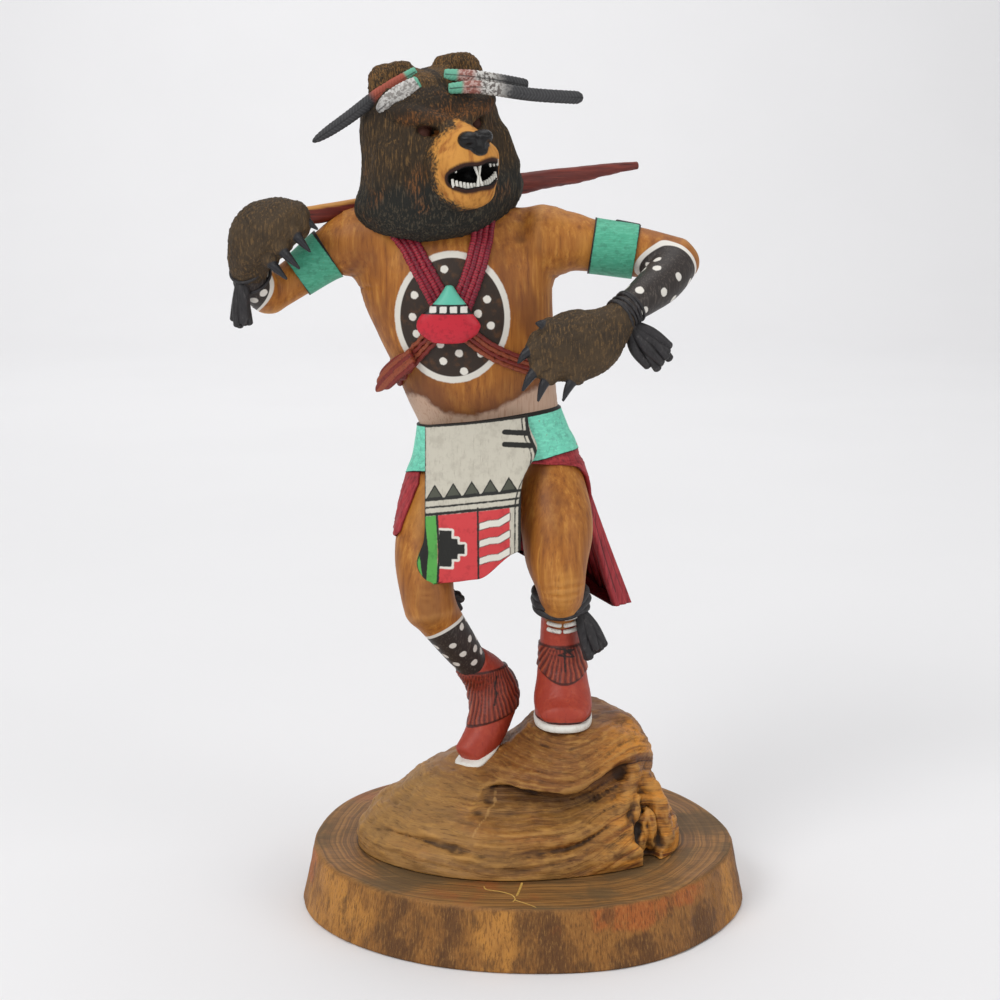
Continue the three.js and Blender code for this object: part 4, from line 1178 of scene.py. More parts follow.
def pendant():
    points, quads = sweep(PENDANT, sides=96, steps=14, start=0.4, end=0.4)
    x, y, z = points.T
    from_middle = [np.abs(x - middle) - 1.5 for middle in (-39.6, -35.2, -30.8, -26.4)]
    squares = np.maximum(np.minimum.reduce(from_middle), np.abs(z - 271.6) - 1.35)
    return points, quads, {"height": z, "squares": squares}


def pendant_look():
    look = Look("pendant_paint")
    height, worn = look.attribute("height"), look.noise(500.0, 3)
    look.base((196, 34, 52))
    look.over(worn, 0.48, 0.7, (150, 20, 38), 0.6)
    look.over(height, 269.4, 269.7, (26, 22, 22))
    look.lay(look.inside("squares", 0.2, 0.4), (226, 222, 214))
    look.over(height, 273.6, 273.9, (96, 190, 166))
    look.bump(worn, 0.2, 0.4)
    return look.finish(0.45)


# Boots, soles, ties and tassels

def carve_boots():
    block = Block((-46, -42, 54), (34, 22, 140), 0.66)
    block.add(block.limb(RIGHT_BOOT, end=0.4))
    block.add(block.limb(LEFT_BOOT_SHAFT, end=0.4), 1.5)
    block.add(block.limb(LEFT_BOOT_SKIRT, start=0.5, end=0.08), 3)
    block.add(block.limb(LEFT_FOOT, (0, 0, 1)), 3)
    points, quads = block.surface()
    points[:, 2] = np.where(points[:, 0] > 1, np.maximum(points[:, 2], 87.5), points[:, 2])
    x, y, z = points.T
    planted = x > 1
    lower = np.where(planted, 104 + 4 * ((x - 18) / 10) ** 2, 84 + 0.3 * (x + 14))
    upper = np.where(planted, 120.5, 106.5)
    fringe = np.maximum.reduce([lower - z, z - upper, np.where(planted, y + 1, -9)])
    axis_x = np.where(planted, 16.6, -15 - 0.35 * (z - 92))
    axis_y = np.where(planted, -9.0, 0.0)
    angle = np.arctan2(y - axis_y, x - axis_x)
    fan = np.where(planted, np.arctan2(x - 18, 134 - z) * 40, np.arctan2(x + 16, 122 - z) * 46 + angle * 4)
    groove = np.abs(np.sin(fan + 1.1 * noise(points * 0.25)))
    bow = in_line(x, z, [(14, 120), (21.5, 119), (15, 116.8), (21.5, 115.6), (17.6, 120), (18, 109)], 0.4)
    bow = np.minimum(bow, in_line(x, z, [(-13, 104), (-13.6, 99), (-12.6, 96), (-13.6, 91)], 0.4))
    raised = smoothstep(0.3, -0.3, fringe)
    brushed = 0.08 * layered_noise(points * np.array([0.9, 0.9, 0.3]), 2)
    relief = raised * (0.9 - 0.55 * (1 - groove) ** 2) + brushed
    points = points + normals_of(points, quads) * relief[:, None]
    marks = {
        "fringe": fringe,
        "groove": groove,
        "hollow": hollows(points, quads, 5),
        "bow": np.where(y < -6, bow, 9.0),
        "welt": np.where(planted, np.abs(z - 88.3), 9.0) - 0.5,
    }
    return points, quads, marks


def boot_look():
    look = Look("boot_paint")
    worn, grain = look.noise(300.0, 4), look.noise((1200.0, 1200.0, 200.0), 3)
    look.base((166, 60, 42))
    look.over(worn, 0.45, 0.7, (182, 76, 52), 0.6)
    look.over(grain, 0.56, 0.72, (128, 44, 38), 0.5)
    fringe = look.inside("fringe", 0.3, 0.3)
    look.lay(look.times(fringe, look.between("groove", 0.85, 0.25, 0.45, 0.9)), (78, 32, 22))
    look.over("groove", 0.85, 1.0, (184, 100, 54), 0.5, fringe)
    look.lay(look.inside("bow", 0.2, 0.5), (34, 16, 14))
    look.lay(look.inside("welt", 0.2, 0.5), (44, 18, 16))
    look.over(look.math("ABSOLUTE", "fringe"), 0.6, 0.3, (48, 20, 16), 0.8)
    # Painted shade: the boots darken in their creases and hollows.
    look.over("hollow", 0.08, 0.4, (70, 26, 20), 0.8)
    look.bump(grain, 0.12, 0.5)
    return look.finish(0.5)


def soles():
    side = np.linspace(0, 2 * math.pi, 96, endpoint=False)
    across = np.cos(side)
    ahead = np.sin(side)
    out_x = 13 * np.sign(across) * np.abs(across) ** 0.8
    out_y = 21.4 * np.sign(ahead) * np.abs(ahead) ** 0.85
    out_x = out_x * (1 - 0.16 * smoothstep(-8, 14, out_y - 11))
    rows = []
    for z, share in ((84.35, 0.97), (84.6, 1.0), (86.0, 1.012), (87.2, 1.0), (87.6, 0.96)):
        rows.append(np.stack([17.4 + out_x * share, -11 + out_y * share, np.full(96, z)], 1))
    planted = loft(rows)
    tiptoe = sweep(RIGHT_SOLE, (-0.5, -0.4, 0.8), sides=64, steps=12, start=0.4)
    return together([planted, tiptoe])


def plain_look(name, colour, dark, light, roughness=0.55, stretch=(500.0, 500.0, 300.0)):
    look = Look(name)
    worn, fine = look.noise(stretch, 4, 0.6), look.noise(1500.0, 3)
    look.base(colour)
    look.over(worn, 0.5, 0.32, dark, 0.7)
    look.over(worn, 0.55, 0.72, light, 0.7)
    look.bump(fine, 0.12, 0.5)
    return look.finish(roughness)


def tassel(knot, tips, thick, count, radius):
    """Strands from a knot to a spread of tips."""
    knot = np.array(knot, float)
    first, last = np.array(tips, float)
    random = np.random.default_rng(int(abs(knot.sum()) * 10))
    parts = []
    for k in range(count):
        t = k / (count - 1)
        tip = first * (1 - t) + last * t
        jitter = random.normal(0, thick * 0.32, 3)
        middle = knot * 0.45 + tip * 0.55 + jitter
        end = tip + jitter * 0.8 + random.normal(0, 0.5, 3)
        stations = ((knot, 0.7), (middle, 1), (end, 0.75))
        rows = [[*place, radius * share, radius * share] for place, share in stations]
        parts.append(sweep(rows, sides=10, steps=8))
    bulb = ((knot - 0.1 * (middle - knot), 0.62), (knot * 0.8 + middle * 0.2, 0.7))
    parts.append(sweep([[*place, thick * share, thick * share] for place, share in bulb], sides=16))
    return together(parts)


def ties():
    """The cord below the left knee, and every tassel."""
    ring = []
    for turn, (height, bulge) in enumerate(((145.2, 0.0), (142.4, 0.6), (139.6, 0.0))):
        angle = np.linspace(0, 2 * math.pi, 90, endpoint=False)
        wobble = 0.5 * np.sin(angle * 3 + turn * 2)
        radius = 11.0 + bulge + 0.4 * np.sin(angle * 5 + turn)
        path_x = 15.8 + radius * np.cos(angle)
        path_y = -19.5 + radius * 1.02 * np.sin(angle)
        path_z = height + wobble + 2.16 * np.sin(angle)
        rows = np.column_stack([path_x, path_y, path_z, np.full((90, 2), 1.9)])
        ring.append(closed_sweep(rows, 12))
    parts = ring + [
        tassel([24, -22, 139], [[27.5, -22.5, 117.5], [34, -21, 121]], 4.2, 15, 2.5),
        tassel([-32.2, -17, 142.4], [[-29.2, -16, 137], [-31.2, -14, 144.8]], 3.4, 9, 2.0),
        tassel([-122, -24, 286], [[-124.8, -24.5, 266], [-118.5, -25.5, 266.5]], 3.8, 14, 2.2),
        tassel([43, -37, 267], [[60, -37, 255.5], [54.5, -37, 247.5]], 4.6, 16, 2.5),
        sweep([[40, -2, 306.8, 1.6, 1.4], [49.5, -2, 305, 1.6, 1.4]], sides=12),
    ]
    parts += wraps((44.6, -34.6, 273.4), (39.6, -38.2, 269.6), 7.3, 7.2, 5)
    parts += wraps((-117.6, -18, 284.6), (-119.4, -22.5, 288.4), 8.3, 7.4, 2)
    return together(parts)


def bells():
    """Three white crescents below the knee."""
    parts = []
    for height, centre_y in ((135.6, -15.6), (132.3, -14.4), (129, -12.6)):
        for first, last in ((10.4, 15.6), (17.6, 23.2)):
            x = np.linspace(first, last, 7)
            y = centre_y - 9.8 * np.sqrt(1 - ((x - 16) / 11.5) ** 2)
            z = height - 0.8 + 0.9 * ((x - 16.6) / 6) ** 2
            parts.append(sweep(np.column_stack([x, y, z, np.full((7, 2), 1.0)]), UPRIGHT, sides=10, steps=2))
    return together(parts)


def wraps(start, end, first_radius, last_radius, turns):
    """Cord wound round a wrist."""
    start, end = np.array(start, float), np.array(end, float)
    along = unit(end - start)
    wide = unit(np.cross(along, UPRIGHT))
    deep = np.cross(along, wide)
    angle = np.linspace(0, 2 * math.pi, 60, endpoint=False)
    rings = []
    for share in np.linspace(0, 1, turns):
        radius = first_radius + (last_radius - first_radius) * share
        slant = 0.8 * math.sin(7 * share) * np.sin(angle)
        path = start + (end - start) * share + slant[:, None] * along
        path = path + radius * (np.cos(angle)[:, None] * wide + np.sin(angle)[:, None] * deep)
        rings.append(closed_sweep(np.column_stack([path, np.full((60, 2), 0.7)]), 10, along))
    return rings


def closed_sweep(rows, sides, front=UPRIGHT):
    """A ring of ellipses round a closed path."""
    centre, radii = rows[:, :3], rows[:, 3:5]
    along = units(np.roll(centre, -1, axis=0) - np.roll(centre, 1, axis=0))
    deep = units(front - along * (along @ front)[:, None])
    wide = np.cross(deep, along)
    angle = np.linspace(0, 2 * math.pi, sides, endpoint=False)
    across = wide[:, None] * np.cos(angle)[None, :, None] * radii[:, None, :1]
    across = across + deep[:, None] * np.sin(angle)[None, :, None] * radii[:, None, 1:]
    points = (centre[:, None] + across).reshape(-1, 3)
    count = len(rows)
    i, j = np.meshgrid(np.arange(count), np.arange(sides), indexing="ij")
    k, n = (j + 1) % sides, (i + 1) % count
    quads = np.stack([i * sides + j, i * sides + k, n * sides + k, n * sides + j], -1).reshape(-1, 4)
    return points, facing_out(points, quads)


# Staff and feathers

STAFF_IN_PAW = np.array([-106, -10, 308.5])
STAFF_AWAY = unit([157, 72, 21.5])


def staff():
    def at(run):
        return STAFF_IN_PAW + STAFF_AWAY * run

    butt, end = -14.0, 176.0
    shares = ((0, 0.8, 0.8), (0.25, 1, 1), (0.62, 1, 1.1), (0.85, 0.8, 0.8), (1, 0.45, 0.42))
    rows = [[*at(butt + (end - butt) * share), 3.2 * width, 4.4 * height] for share, width, height in shares]
    points, quads = sweep(rows, UPRIGHT, sides=32, steps=36, start=0.5, end=0.5)
    run = (points - STAFF_IN_PAW) @ STAFF_AWAY
    offset = points - at(run[:, None])
    lower = smoothstep(0, -4, offset[:, 2])
    chips = 0.5 * layered_noise(np.column_stack([run * 0.12, offset[:, 1] * 0.4, offset[:, 2] * 0.5]), 3)
    points = points + normals_of(points, quads) * (chips * (0.3 + lower))[:, None]
    return points, quads, {"high": offset[:, 2], "run": run}


def staff_look():
    look = Look("staff_wood")
    grain = look.noise((60.0, 120.0, 900.0), 5, 0.6)
    look.base((104, 36, 28))
    look.over(grain, 0.45, 0.7, (140, 56, 40), 0.8)
    look.over(grain, 0.45, 0.32, (60, 20, 16), 0.8)
    tan = look.between(look.plus("high", look.times(grain, 3.0)), 3.4, 4.8)
    near = look.between("run", 75, 60)
    look.lay(look.times(tan, near), (196, 136, 60))
    look.bump(grain, 0.3, 0.7)
    return look.finish(0.5)


# Each feather's path, its breadth, the share of it left at the tip, and the share of the length that narrows
FEATHERS = {
    "feather_right_long": (
        [[-47, -14, 371], [-61, -18.5, 362.5], [-75, -21, 352], [-90.5, -20, 341.8]], 1.0, 0.75, 0.22),
    "feather_right_short": (
        [[-45.5, -22, 366], [-51, -25, 362.6], [-56.5, -26, 359], [-62.5, -24.5, 354.5]], 1.5, 0.75, 0.3),
    "feather_left_upper": (
        [[-34, -17, 370], [-23, -18, 369], [-11, -15, 367.4], [1, -8, 365.3]], 1.0, 1, 0.08),
    "feather_left_lower": (
        [[-32, -22, 364], [-19, -24, 364.5], [2, -17, 361.6], [24.7, -6, 360.3]], 1.0, 1, 0.08),
}


def feather(name):
    path, broad, at_tip, taper = FEATHERS[name]
    rows = [[*point, 2.8 * broad * share, 1.3] for point, share in zip(path, (0.8, 1, 1, at_tip))]

    def narrowing(share):
        past = np.clip((share - 1 + taper) / taper, 0, 1)
        return np.sqrt(np.maximum(1 - past**2, 0.02))

    points, quads = sweep(rows, HEAD_AXES[2], sides=36, steps=28, start=0.6, end=0.5, wave=narrowing)
    away = unit(np.subtract(path[-1], path[0]))
    run = (points - np.array(path[0])) @ away
    middle = through_rows(path, 28)
    gap = np.linalg.norm(points[:, None, [0, 2]] - middle[None, :, [0, 2]], axis=2).min(axis=1)
    barbs = 0.1 * np.sin(run * 3.6 + gap * 2.2) * smoothstep(0.4, 1.6, gap)
    points = points + normals_of(points, quads) * barbs[:, None]
    return points, quads, {"run": run, "quill": gap}


def feather_look(name, length):
    look = Look(name + "_paint")
    worn = look.noise(700.0, 3)
    run = look.attribute("run")
    look.base((58, 58, 60))
    barbs = look.math("SINE", look.plus(look.times(run, 4.2), look.times("quill", 3.0)))
    look.over(barbs, 0.2, 0.9, (88, 88, 90), 0.45)
    look.over(worn, 0.55, 0.72, (34, 34, 36), 0.6)
    downy = name == "feather_right_short"
    white_end = length if downy else (8 if name == "feather_right_long" else 22)
    red_end = 2 if downy else (19 if name == "feather_right_long" else 13)
    if name == "feather_right_long":
        look.over(run, red_end + 4, red_end, (168, 84, 66))
    else:
        speckle = look.between(worn, 0.42, 0.56)
        white = look.between(look.plus(run, look.times(worn, 8.0)), white_end + 8, white_end)
        look.lay(white, (206, 204, 200))
        shade = (146, 142, 138) if downy else (104, 98, 94)
        look.lay(look.times(white, look.math("SUBTRACT", 1.0, speckle)), shade)
        if not downy:
            look.over(run, red_end, red_end - 3, (168, 84, 66), 0.55)
    look.over(run, 5.5 if not downy else 0.6, 3.5 if not downy else 0.2, (106, 176, 150))
    look.over("quill", 0.45, 0.2, (30, 30, 32), 0.7)
    look.bump(barbs, 0.12, 0.5)
    return look.finish(0.6)


# The rock of root wood

ROCK_FOOT = 27.3
ROCK_SIZE = (146, 114, 57)
TONGUE = [
    [-0.03, -0.02, -0.05, 0.5, 0.5], [0, -0.02, -0.05, 0.5, 0.5], [0.14, -0.022, -0.05, 0.495, 0.49],
    [0.2, -0.015, -0.04, 0.48, 0.46], [0.32, -0.005, -0.03, 0.45, 0.44], [0.38, 0.005, -0.02, 0.42, 0.41],
    [0.5, 0.01, 0, 0.36, 0.37], [0.6, 0, 0.02, 0.28, 0.3], [0.66, -0.03, 0.03, 0.17, 0.2],
    [0.69, -0.03, 0.03, 0.02, 0.02],
]
LEDGE = [
    [0.2, 0.16, -0.02, 0.27, 0.36], [0.42, 0.16, -0.03, 0.262, 0.34], [0.5, 0.145, -0.03, 0.255, 0.335],
    [0.58, 0.125, -0.02, 0.27, 0.37], [0.66, 0.13, -0.015, 0.263, 0.36], [0.8, 0.17, -0.015, 0.22, 0.34],
    [0.9, 0.18, -0.01, 0.185, 0.31], [0.96, 0.175, -0.01, 0.155, 0.29], [1.0, 0.17, -0.01, 0.1, 0.22],
    [1.005, 0.17, -0.01, 0.01, 0.02],
]


def boulder(block, levels, wave):
    """Ovals [height, x, y, half length, half width], as shares of the rock's own size."""
    rows = through_rows(levels, 4)
    slices, (x, y, z) = block.part(block.low, block.high)
    height = (z - ROCK_FOOT) / ROCK_SIZE[2]
    mid_x, mid_y, long, wide = (np.interp(height, rows[:, 0], rows[:, k]) for k in range(1, 5))
    long, wide = long * ROCK_SIZE[0], wide * ROCK_SIZE[1]
    x, y = x - mid_x * ROCK_SIZE[0], y - mid_y * ROCK_SIZE[1]
    turn = np.arctan2(y / wide, x / long)
    uneven = 1 + wave * (np.cos(3 * turn + 1) + 0.6 * np.cos(5 * turn + 2.3))
    long, wide = long * uneven, wide * uneven
    k0 = np.hypot(x / long, y / wide)
    k1 = np.hypot(x / long**2, y / wide**2) + 1e-6
    distance = k0 * (k0 - 1) / k1
    top = z - (ROCK_FOOT + levels[-1][0] * ROCK_SIZE[2])
    return slices, np.maximum(distance, top).astype(np.float32)


def bedding(x, y, z):
    """The height of the wood's layers, which sweep up towards the knot at the dancer's left."""
    wave = 1.5 * np.sin(x * 0.045 + 1) + 1.2 * np.sin(y * 0.06 + x * 0.03) + 0.6 * np.sin(x * 0.13 + y * 0.05)
    return z - 10 * smoothstep(12, 52, x) * smoothstep(20, -30, y) + wave


# Fine lines between the layers, as [height, depth, width]
ROCK_LINES = [
    [54.6, 0.9, 0.5], [51, 1.1, 0.6], [47.5, 0.8, 0.6], [44.4, 1.2, 0.8], [33.5, 0.7, 0.7],
    [64.5, 0.6, 0.6], [68.5, 0.8, 0.7], [73, 0.6, 0.6], [77.5, 0.7, 0.7],
]
# The lumps of the knot, as (centre, radii)
BURL = [((54, -30.5, 41), (4.6, 5, 8)), ((56.5, -28, 34), (4.4, 5, 5)), ((51, -32, 35), (3.6, 4.4, 6))]


def carve_rock():
    block = Block((-78, -67, 26.4), (82, 62, 88), 0.9)
    block.add(boulder(block, TONGUE, 0.018))
    block.add(boulder(block, LEDGE, 0.02), 1.5)
    swell = [[-45, -5, 35.5, 12, 14], [-27, -5, 47.5, 17, 24], [-7, -5, 50.5, 17, 26]]
    block.add(block.limb(swell, start=0.3, end=0.3), 6)
    _, (x, y, z) = block.part(block.low, block.high)
    layer = bedding(x, y, z)
    right = smoothstep(-21, -14, x + 0.75 * (57.6 - z))
    recess = 5.4 * smoothstep(61, 59, layer) * smoothstep(43, 56, layer) * right * smoothstep(58, 36, x)
    groove = 1.7 * hump(layer, 38.4, 1.2) * smoothstep(-16, -30, y)
    shelf = 1.3 * smoothstep(38.4, 37.9, layer) * smoothstep(30, 36, layer) * smoothstep(-10, -30, y)
    fine = np.zeros_like(block.field)
    for height, depth, width in ROCK_LINES:
        fine = fine + depth * hump(layer, height, width)
    cut = recess + groove + shelf + fine * smoothstep(-30, -8, x)
    block.field += cut.astype(np.float32)
    for side, height in ((-61.5, 43.6), (45, 60)):
        block.cut(block.ball((side, -37 if side < 0 else -33, height), (4, 4.4, 1.4)), 2.5)
    block.cut(block.ball((57, -35.3, 43.8), (7, 12, 13.5), turned_flat(0.9)), 2.5)
    block.cut(block.ball((55, -37, 30), (5.5, 7, 7)), 2)
    lip = [[63, -27.5, 32, 4.4, 5], [62, -25.5, 43, 4.6, 5.4], [57, -23, 55, 4, 4.4], [50, -22, 64, 4, 4]]
    block.add(block.limb(lip, start=0.6, end=0.8), 3)
    ridge = [[37, -43, 28, 4.6, 5], [39.5, -40.5, 41, 3.8, 4.4], [44, -34, 54, 3.6, 4.4], [48, -27, 66, 4, 4]]
    block.add(block.limb(ridge, start=0.3, end=0.8), 4)
    inner_ridge = [[46, -41.5, 28, 2, 3], [46.5, -38, 41, 2, 2.6], [50, -31, 54, 2, 3]]
    block.add(block.limb(inner_ridge, start=0.3), 2)
    burl = block.twin()
    for centre, radii in BURL:
        burl.add(burl.ball(centre, radii), 2)
    block.add(burl.whole(), 1.0)
    points, quads = block.surface()
    x, y, z = points.T
    layer = bedding(x, y, z)
    knotty = smoothstep(14, 6, np.linalg.norm((points - (54, -34, 42)) / (1, 1, 1.35), axis=1))
    grain = layered_noise(np.stack([x * 0.07, y * 0.07, layer * 0.55], 1), 4)
    lumps = layered_noise(points * 0.09, 3)
    gnarl = layered_noise(points * np.array([0.42, 0.42, 0.15]), 3)
    flat_foot = smoothstep(27.6, 30, z)
    seat = smoothstep(6, 14, np.hypot((x - 17.4) * 1.6, y + 7.5)) + smoothstep(82.5, 80, z)
    relief = (0.5 * grain + 1.1 * lumps) * (1 - knotty) + 1.2 * gnarl * knotty
    points = points + normals_of(points, quads) * (relief * flat_foot * np.clip(seat, 0, 1))[:, None]
    points[:, 2] = np.clip(points[:, 2], 27.35, 84.25)
    chip = 1.2 * noise(points * 0.5)
    fracture = in_line(x + chip, z, [(-12.8, 57.6), (-15, 52), (-22.9, 43.3)], 0.35)
    marks = {
        "layer": bedding(*points.T),
        "height": points[:, 2] - 2 * lumps,
        "hollow": hollows(points, quads, 6),
        "deep": hollows(points, quads, 40),
        "knotty": knotty,
        "right": smoothstep(24, 52, x) * smoothstep(20, -20, y),
        "left": smoothstep(2, -46, x),
        "fracture": np.where(y < -10, fracture, 9.0),
        "sunk": smoothstep(62.4, 60.5, layer) * smoothstep(46, 58, layer) * smoothstep(-20, -12, x),
    }
    return points, quads, marks


def layered_grain(look, name, per_mm, detail=3.0, warp=1.6):
    """Streaks that follow a height stored at the points, broken up across it."""
    stray = look.times(look.math("SUBTRACT", look.noise((22.0, 22.0, 60.0), 3), 0.5), warp)
    place = look.plus(look.attribute(name), stray)
    node = look.node("ShaderNodeTexNoise", noise_dimensions="2D")
    pair = look.node("ShaderNodeCombineXYZ")
    look.put(pair.inputs[0], look.times(place, per_mm))
    look.put(pair.inputs[1], look.noise((9.0, 9.0, 9.0), 2))
    look.put(node.inputs["Vector"], pair.outputs[0])
    for key, value in (("Scale", 1.0), ("Detail", detail), ("Roughness", 0.6)):
        node.inputs[key].default_value = value
    return node.outputs["Fac"]


def rock_look():
    look = Look("root_wood")
    broad = look.noise((24.0, 24.0, 60.0), 5, 0.6)
    patches = look.noise((34.0, 34.0, 190.0), 5, 0.65)
    bands = layered_grain(look, "layer", 0.34, 6.0, 4.0)
    hair = layered_grain(look, "layer", 1.6, 4.0, 2.0)
    fine = look.noise((130.0, 130.0, 1500.0), 5, 0.7)
    right, knotty, sunk = (look.attribute(name) for name in ("right", "knotty", "sunk"))
    look.base((146, 100, 48))
    look.over(bands, 0.5, 0.7, (176, 130, 66), 0.5)
    look.over(bands, 0.5, 0.34, (104, 64, 30), 0.7)
    look.over(broad, 0.5, 0.62, (118, 86, 46), 0.6)
    look.over(broad, 0.48, 0.38, (158, 96, 40), 0.5)
    look.over(patches, 0.55, 0.68, (88, 54, 28), 0.55)
    look.over("height", 58, 64, (128, 76, 34), 0.6)
    look.over(patches, 0.62, 0.44, (216, 142, 52), 0.9, right)
    look.over(bands, 0.46, 0.36, (120, 64, 22), within=right)
    mottle = look.noise((120.0, 120.0, 300.0), 5, 0.7)
    look.over(mottle, 0.52, 0.66, (92, 58, 30), 0.5)
    look.over(mottle, 0.46, 0.34, (182, 134, 70), 0.45)
    look.over(patches, 0.4, 0.6, (76, 45, 22), within=look.between(hair, 0.53, 0.66, 0, 0.5))
    look.over(patches, 0.6, 0.4, (190, 142, 72), within=look.between(hair, 0.46, 0.34, 0, 0.3))
    look.lay(look.times("left", 0.4), (178, 138, 84))
    look.over(fine, 0.53, 0.68, (80, 48, 24), 0.6)
    look.over(fine, 0.47, 0.32, (186, 138, 70), 0.4)
    # Painted shade over dark grain lines: the recessed band under the ledge is darkened.
    look.lay(look.times(sunk, look.between(hair, 0.4, 0.62, 0.4, 0.85)), (72, 42, 22))
    look.over("fracture", 0.5, -0.3, (196, 152, 92), 0.6)
    # Painted shade: the rock darkens broadly in its deep recesses and more in fine creases; raised edges are
    # made lighter.
    look.over("deep", 0.3, 2.0, (58, 33, 17), 0.7)
    look.over("hollow", 0.08, 0.5, (44, 25, 13), 0.65)
    look.over("hollow", -0.06, -0.4, (204, 152, 80), 0.4)
    # The knot's own dark patches, laid fullest in its hollows and kept off its bulges, so partly painted
    # shade.
    dark_knot = look.times(knotty, look.between(look.noise((150.0, 150.0, 50.0), 4), 0.36, 0.54))
    look.over("deep", -0.9, 0.3, (42, 28, 16), within=dark_knot)
    look.bump(fine, 0.3, 0.7).bump(hair, 0.35, 0.6).bump(patches, 0.5, 0.3)
    return look.finish(look.between(broad, 0.3, 0.7, 0.46, 0.64), 0.3)


# The slab, a slice of trunk

def slab_outline(turn):
    """How far the trunk's outline lies from a circle, as a share of its radius, by the angle round it."""
    waves = np.cos(2 * turn + 0.4) + 0.7 * np.cos(3 * turn + 2.1) + 0.5 * np.cos(5 * turn)
    facets = 0.35 * np.cos(7 * turn + 1.0) - 1.1 * hump(turn - 2 * math.pi * (turn > 3), 0, 0.5)
    return 1 + 0.014 * (waves + facets)


def slab():
    sides = 360
    turn = np.linspace(0, 2 * math.pi, sides, endpoint=False)
    shape = slab_outline(turn)
    profile = [(radius, 27.0) for radius in np.linspace(2, 93.4, 46)]
    profile += [(94.2, 26.8), (94.8, 26.3), (95.2, 25.5)]
    profile += [(95.4 + 5.1 * (25 - z) / 24.6, z) for z in np.linspace(24.5, 1.2, 30)]
    profile += [(100.2, 0.5), (99.6, 0.1), (98.6, 0.0), (60.0, 0.0), (20.0, 0.0), (2.0, 0.0)]
    across, ahead = shape * np.cos(turn), shape * np.sin(turn)
    rings = [np.stack([radius * across, radius * ahead, np.full(sides, z)], axis=1) for radius, z in profile]
    points, quads = loft(rings)
    x, y, z = points.T
    reach = np.hypot(x, y)
    turn = np.arctan2(y, x)
    smooth_shape = slab_outline(turn)
    out = smoothstep(94, 95.6, reach / smooth_shape)
    side = out * smoothstep(0.3, 1.5, z) * smoothstep(26.8, 25.5, z)
    arc = turn * 97
    hatch = noise(np.stack([arc * 0.9, z * 0.05, 0 * z], 1))
    saw = 0.16 * hatch + 0.3 * layered_noise(np.stack([arc * 0.13, z * 0.1, 0 * z], 1), 2)
    flat = (1 - out) * (z > 20) * smoothstep(93.5, 90, reach / smooth_shape)
    ring = reach / smooth_shape + 4.5 * layered_noise(np.stack([x * 0.022, y * 0.022, 0 * x], 1), 3)
    lines = 0.1 * noise(np.stack([ring * 0.9, 0 * x, 0 * x], 1))
    points = points + normals_of(points, quads) * (saw * side + lines * flat - 0.12 * flat)[:, None]
    points[:, 2] = np.clip(points[:, 2], 0, 27.0)

    def patch(centre, width, low=-9.0, high=40.0):
        gap = (np.degrees(turn) - centre + 180) % 360 - 180
        upright = smoothstep(low - 3, low + 3, z) * smoothstep(high + 3, high - 3, z)
        return hump(gap, 0, width) * upright * out

    darks = (
        (-124, 7), (-110, 5), (-85, 7), (-60, 14, -9, 13), (-38, 6, -9, 18), (-8, 8),
        (30, 14), (75, 10), (120, 16), (170, 8),
    )
    golds = ((-150, 20), (-98, 7), (-22, 7), (52, 9), (98, 10), (148, 10))
    oranges = ((-62, 16, 15, 40), (-44, 8, 19, 40), (-166, 7, 12, 40), (60, 8, 12, 40), (100, 8, 10, 40))
    dark, gold, orange = (sum(patch(*place) for place in places) for places in (darks, golds, oranges))
    return points, quads, {"ring": ring, "side": out, "dark": dark, "gold": gold, "orange": orange}


def slab_look():
    look = Look("slab_wood")
    rings = layered_grain(look, "ring", 0.3, 5.0, 7.0)
    thin = layered_grain(look, "ring", 1.5, 4.0, 5.0)
    broad = look.noise((26.0, 26.0, 26.0), 5, 0.6)
    saw = look.noise((1400.0, 1400.0, 60.0), 4, 0.7)
    side = look.attribute("side")
    top = look.math("SUBTRACT", 1.0, side)
    look.base((128, 90, 48))
    look.over(rings, 0.5, 0.62, (158, 112, 58), 0.8)
    look.over(rings, 0.49, 0.38, (86, 62, 36), 0.8)
    look.over(thin, 0.54, 0.68, (78, 52, 28), 0.6)
    look.over(thin, 0.45, 0.3, (176, 130, 70), 0.4)
    look.over(broad, 0.5, 0.64, (94, 76, 50), 0.75)
    look.over(broad, 0.46, 0.34, (154, 86, 42), 0.6)
    scratches = look.noise((60.0, 900.0, 400.0), 5, 0.65)
    look.over(scratches, 0.53, 0.68, (76, 54, 32), 0.55)
    look.over(scratches, 0.45, 0.32, (172, 130, 78), 0.35)
    look.lay(side, (146, 98, 46))
    worn = look.noise((75.0, 75.0, 45.0), 6, 0.65)
    for name, colour in (("gold", (204, 142, 64)), ("dark", (76, 48, 28)), ("orange", (176, 92, 40))):
        broken = look.plus(look.attribute(name), look.times(look.math("SUBTRACT", worn, 0.5), 3.0))
        look.over(broken, 0.35, 1.05, colour, 0.7, side)
    knots = look.noise((110.0, 110.0, 60.0), 5, 0.6)
    look.over(knots, 0.53, 0.66, (92, 62, 34), 0.65, side)
    look.over(knots, 0.45, 0.34, (172, 118, 58), 0.45, side)
    look.over(saw, 0.5, 0.62, (82, 52, 28), 0.6, side)
    look.over(saw, 0.46, 0.36, (188, 138, 74), 0.35, side)
    look.bump(look.times(saw, side), 0.5, 0.8).bump(look.times(thin, top), 0.25, 0.5)
    return look.finish(look.between(broad, 0.3, 0.7, 0.5, 0.66), 0.3)


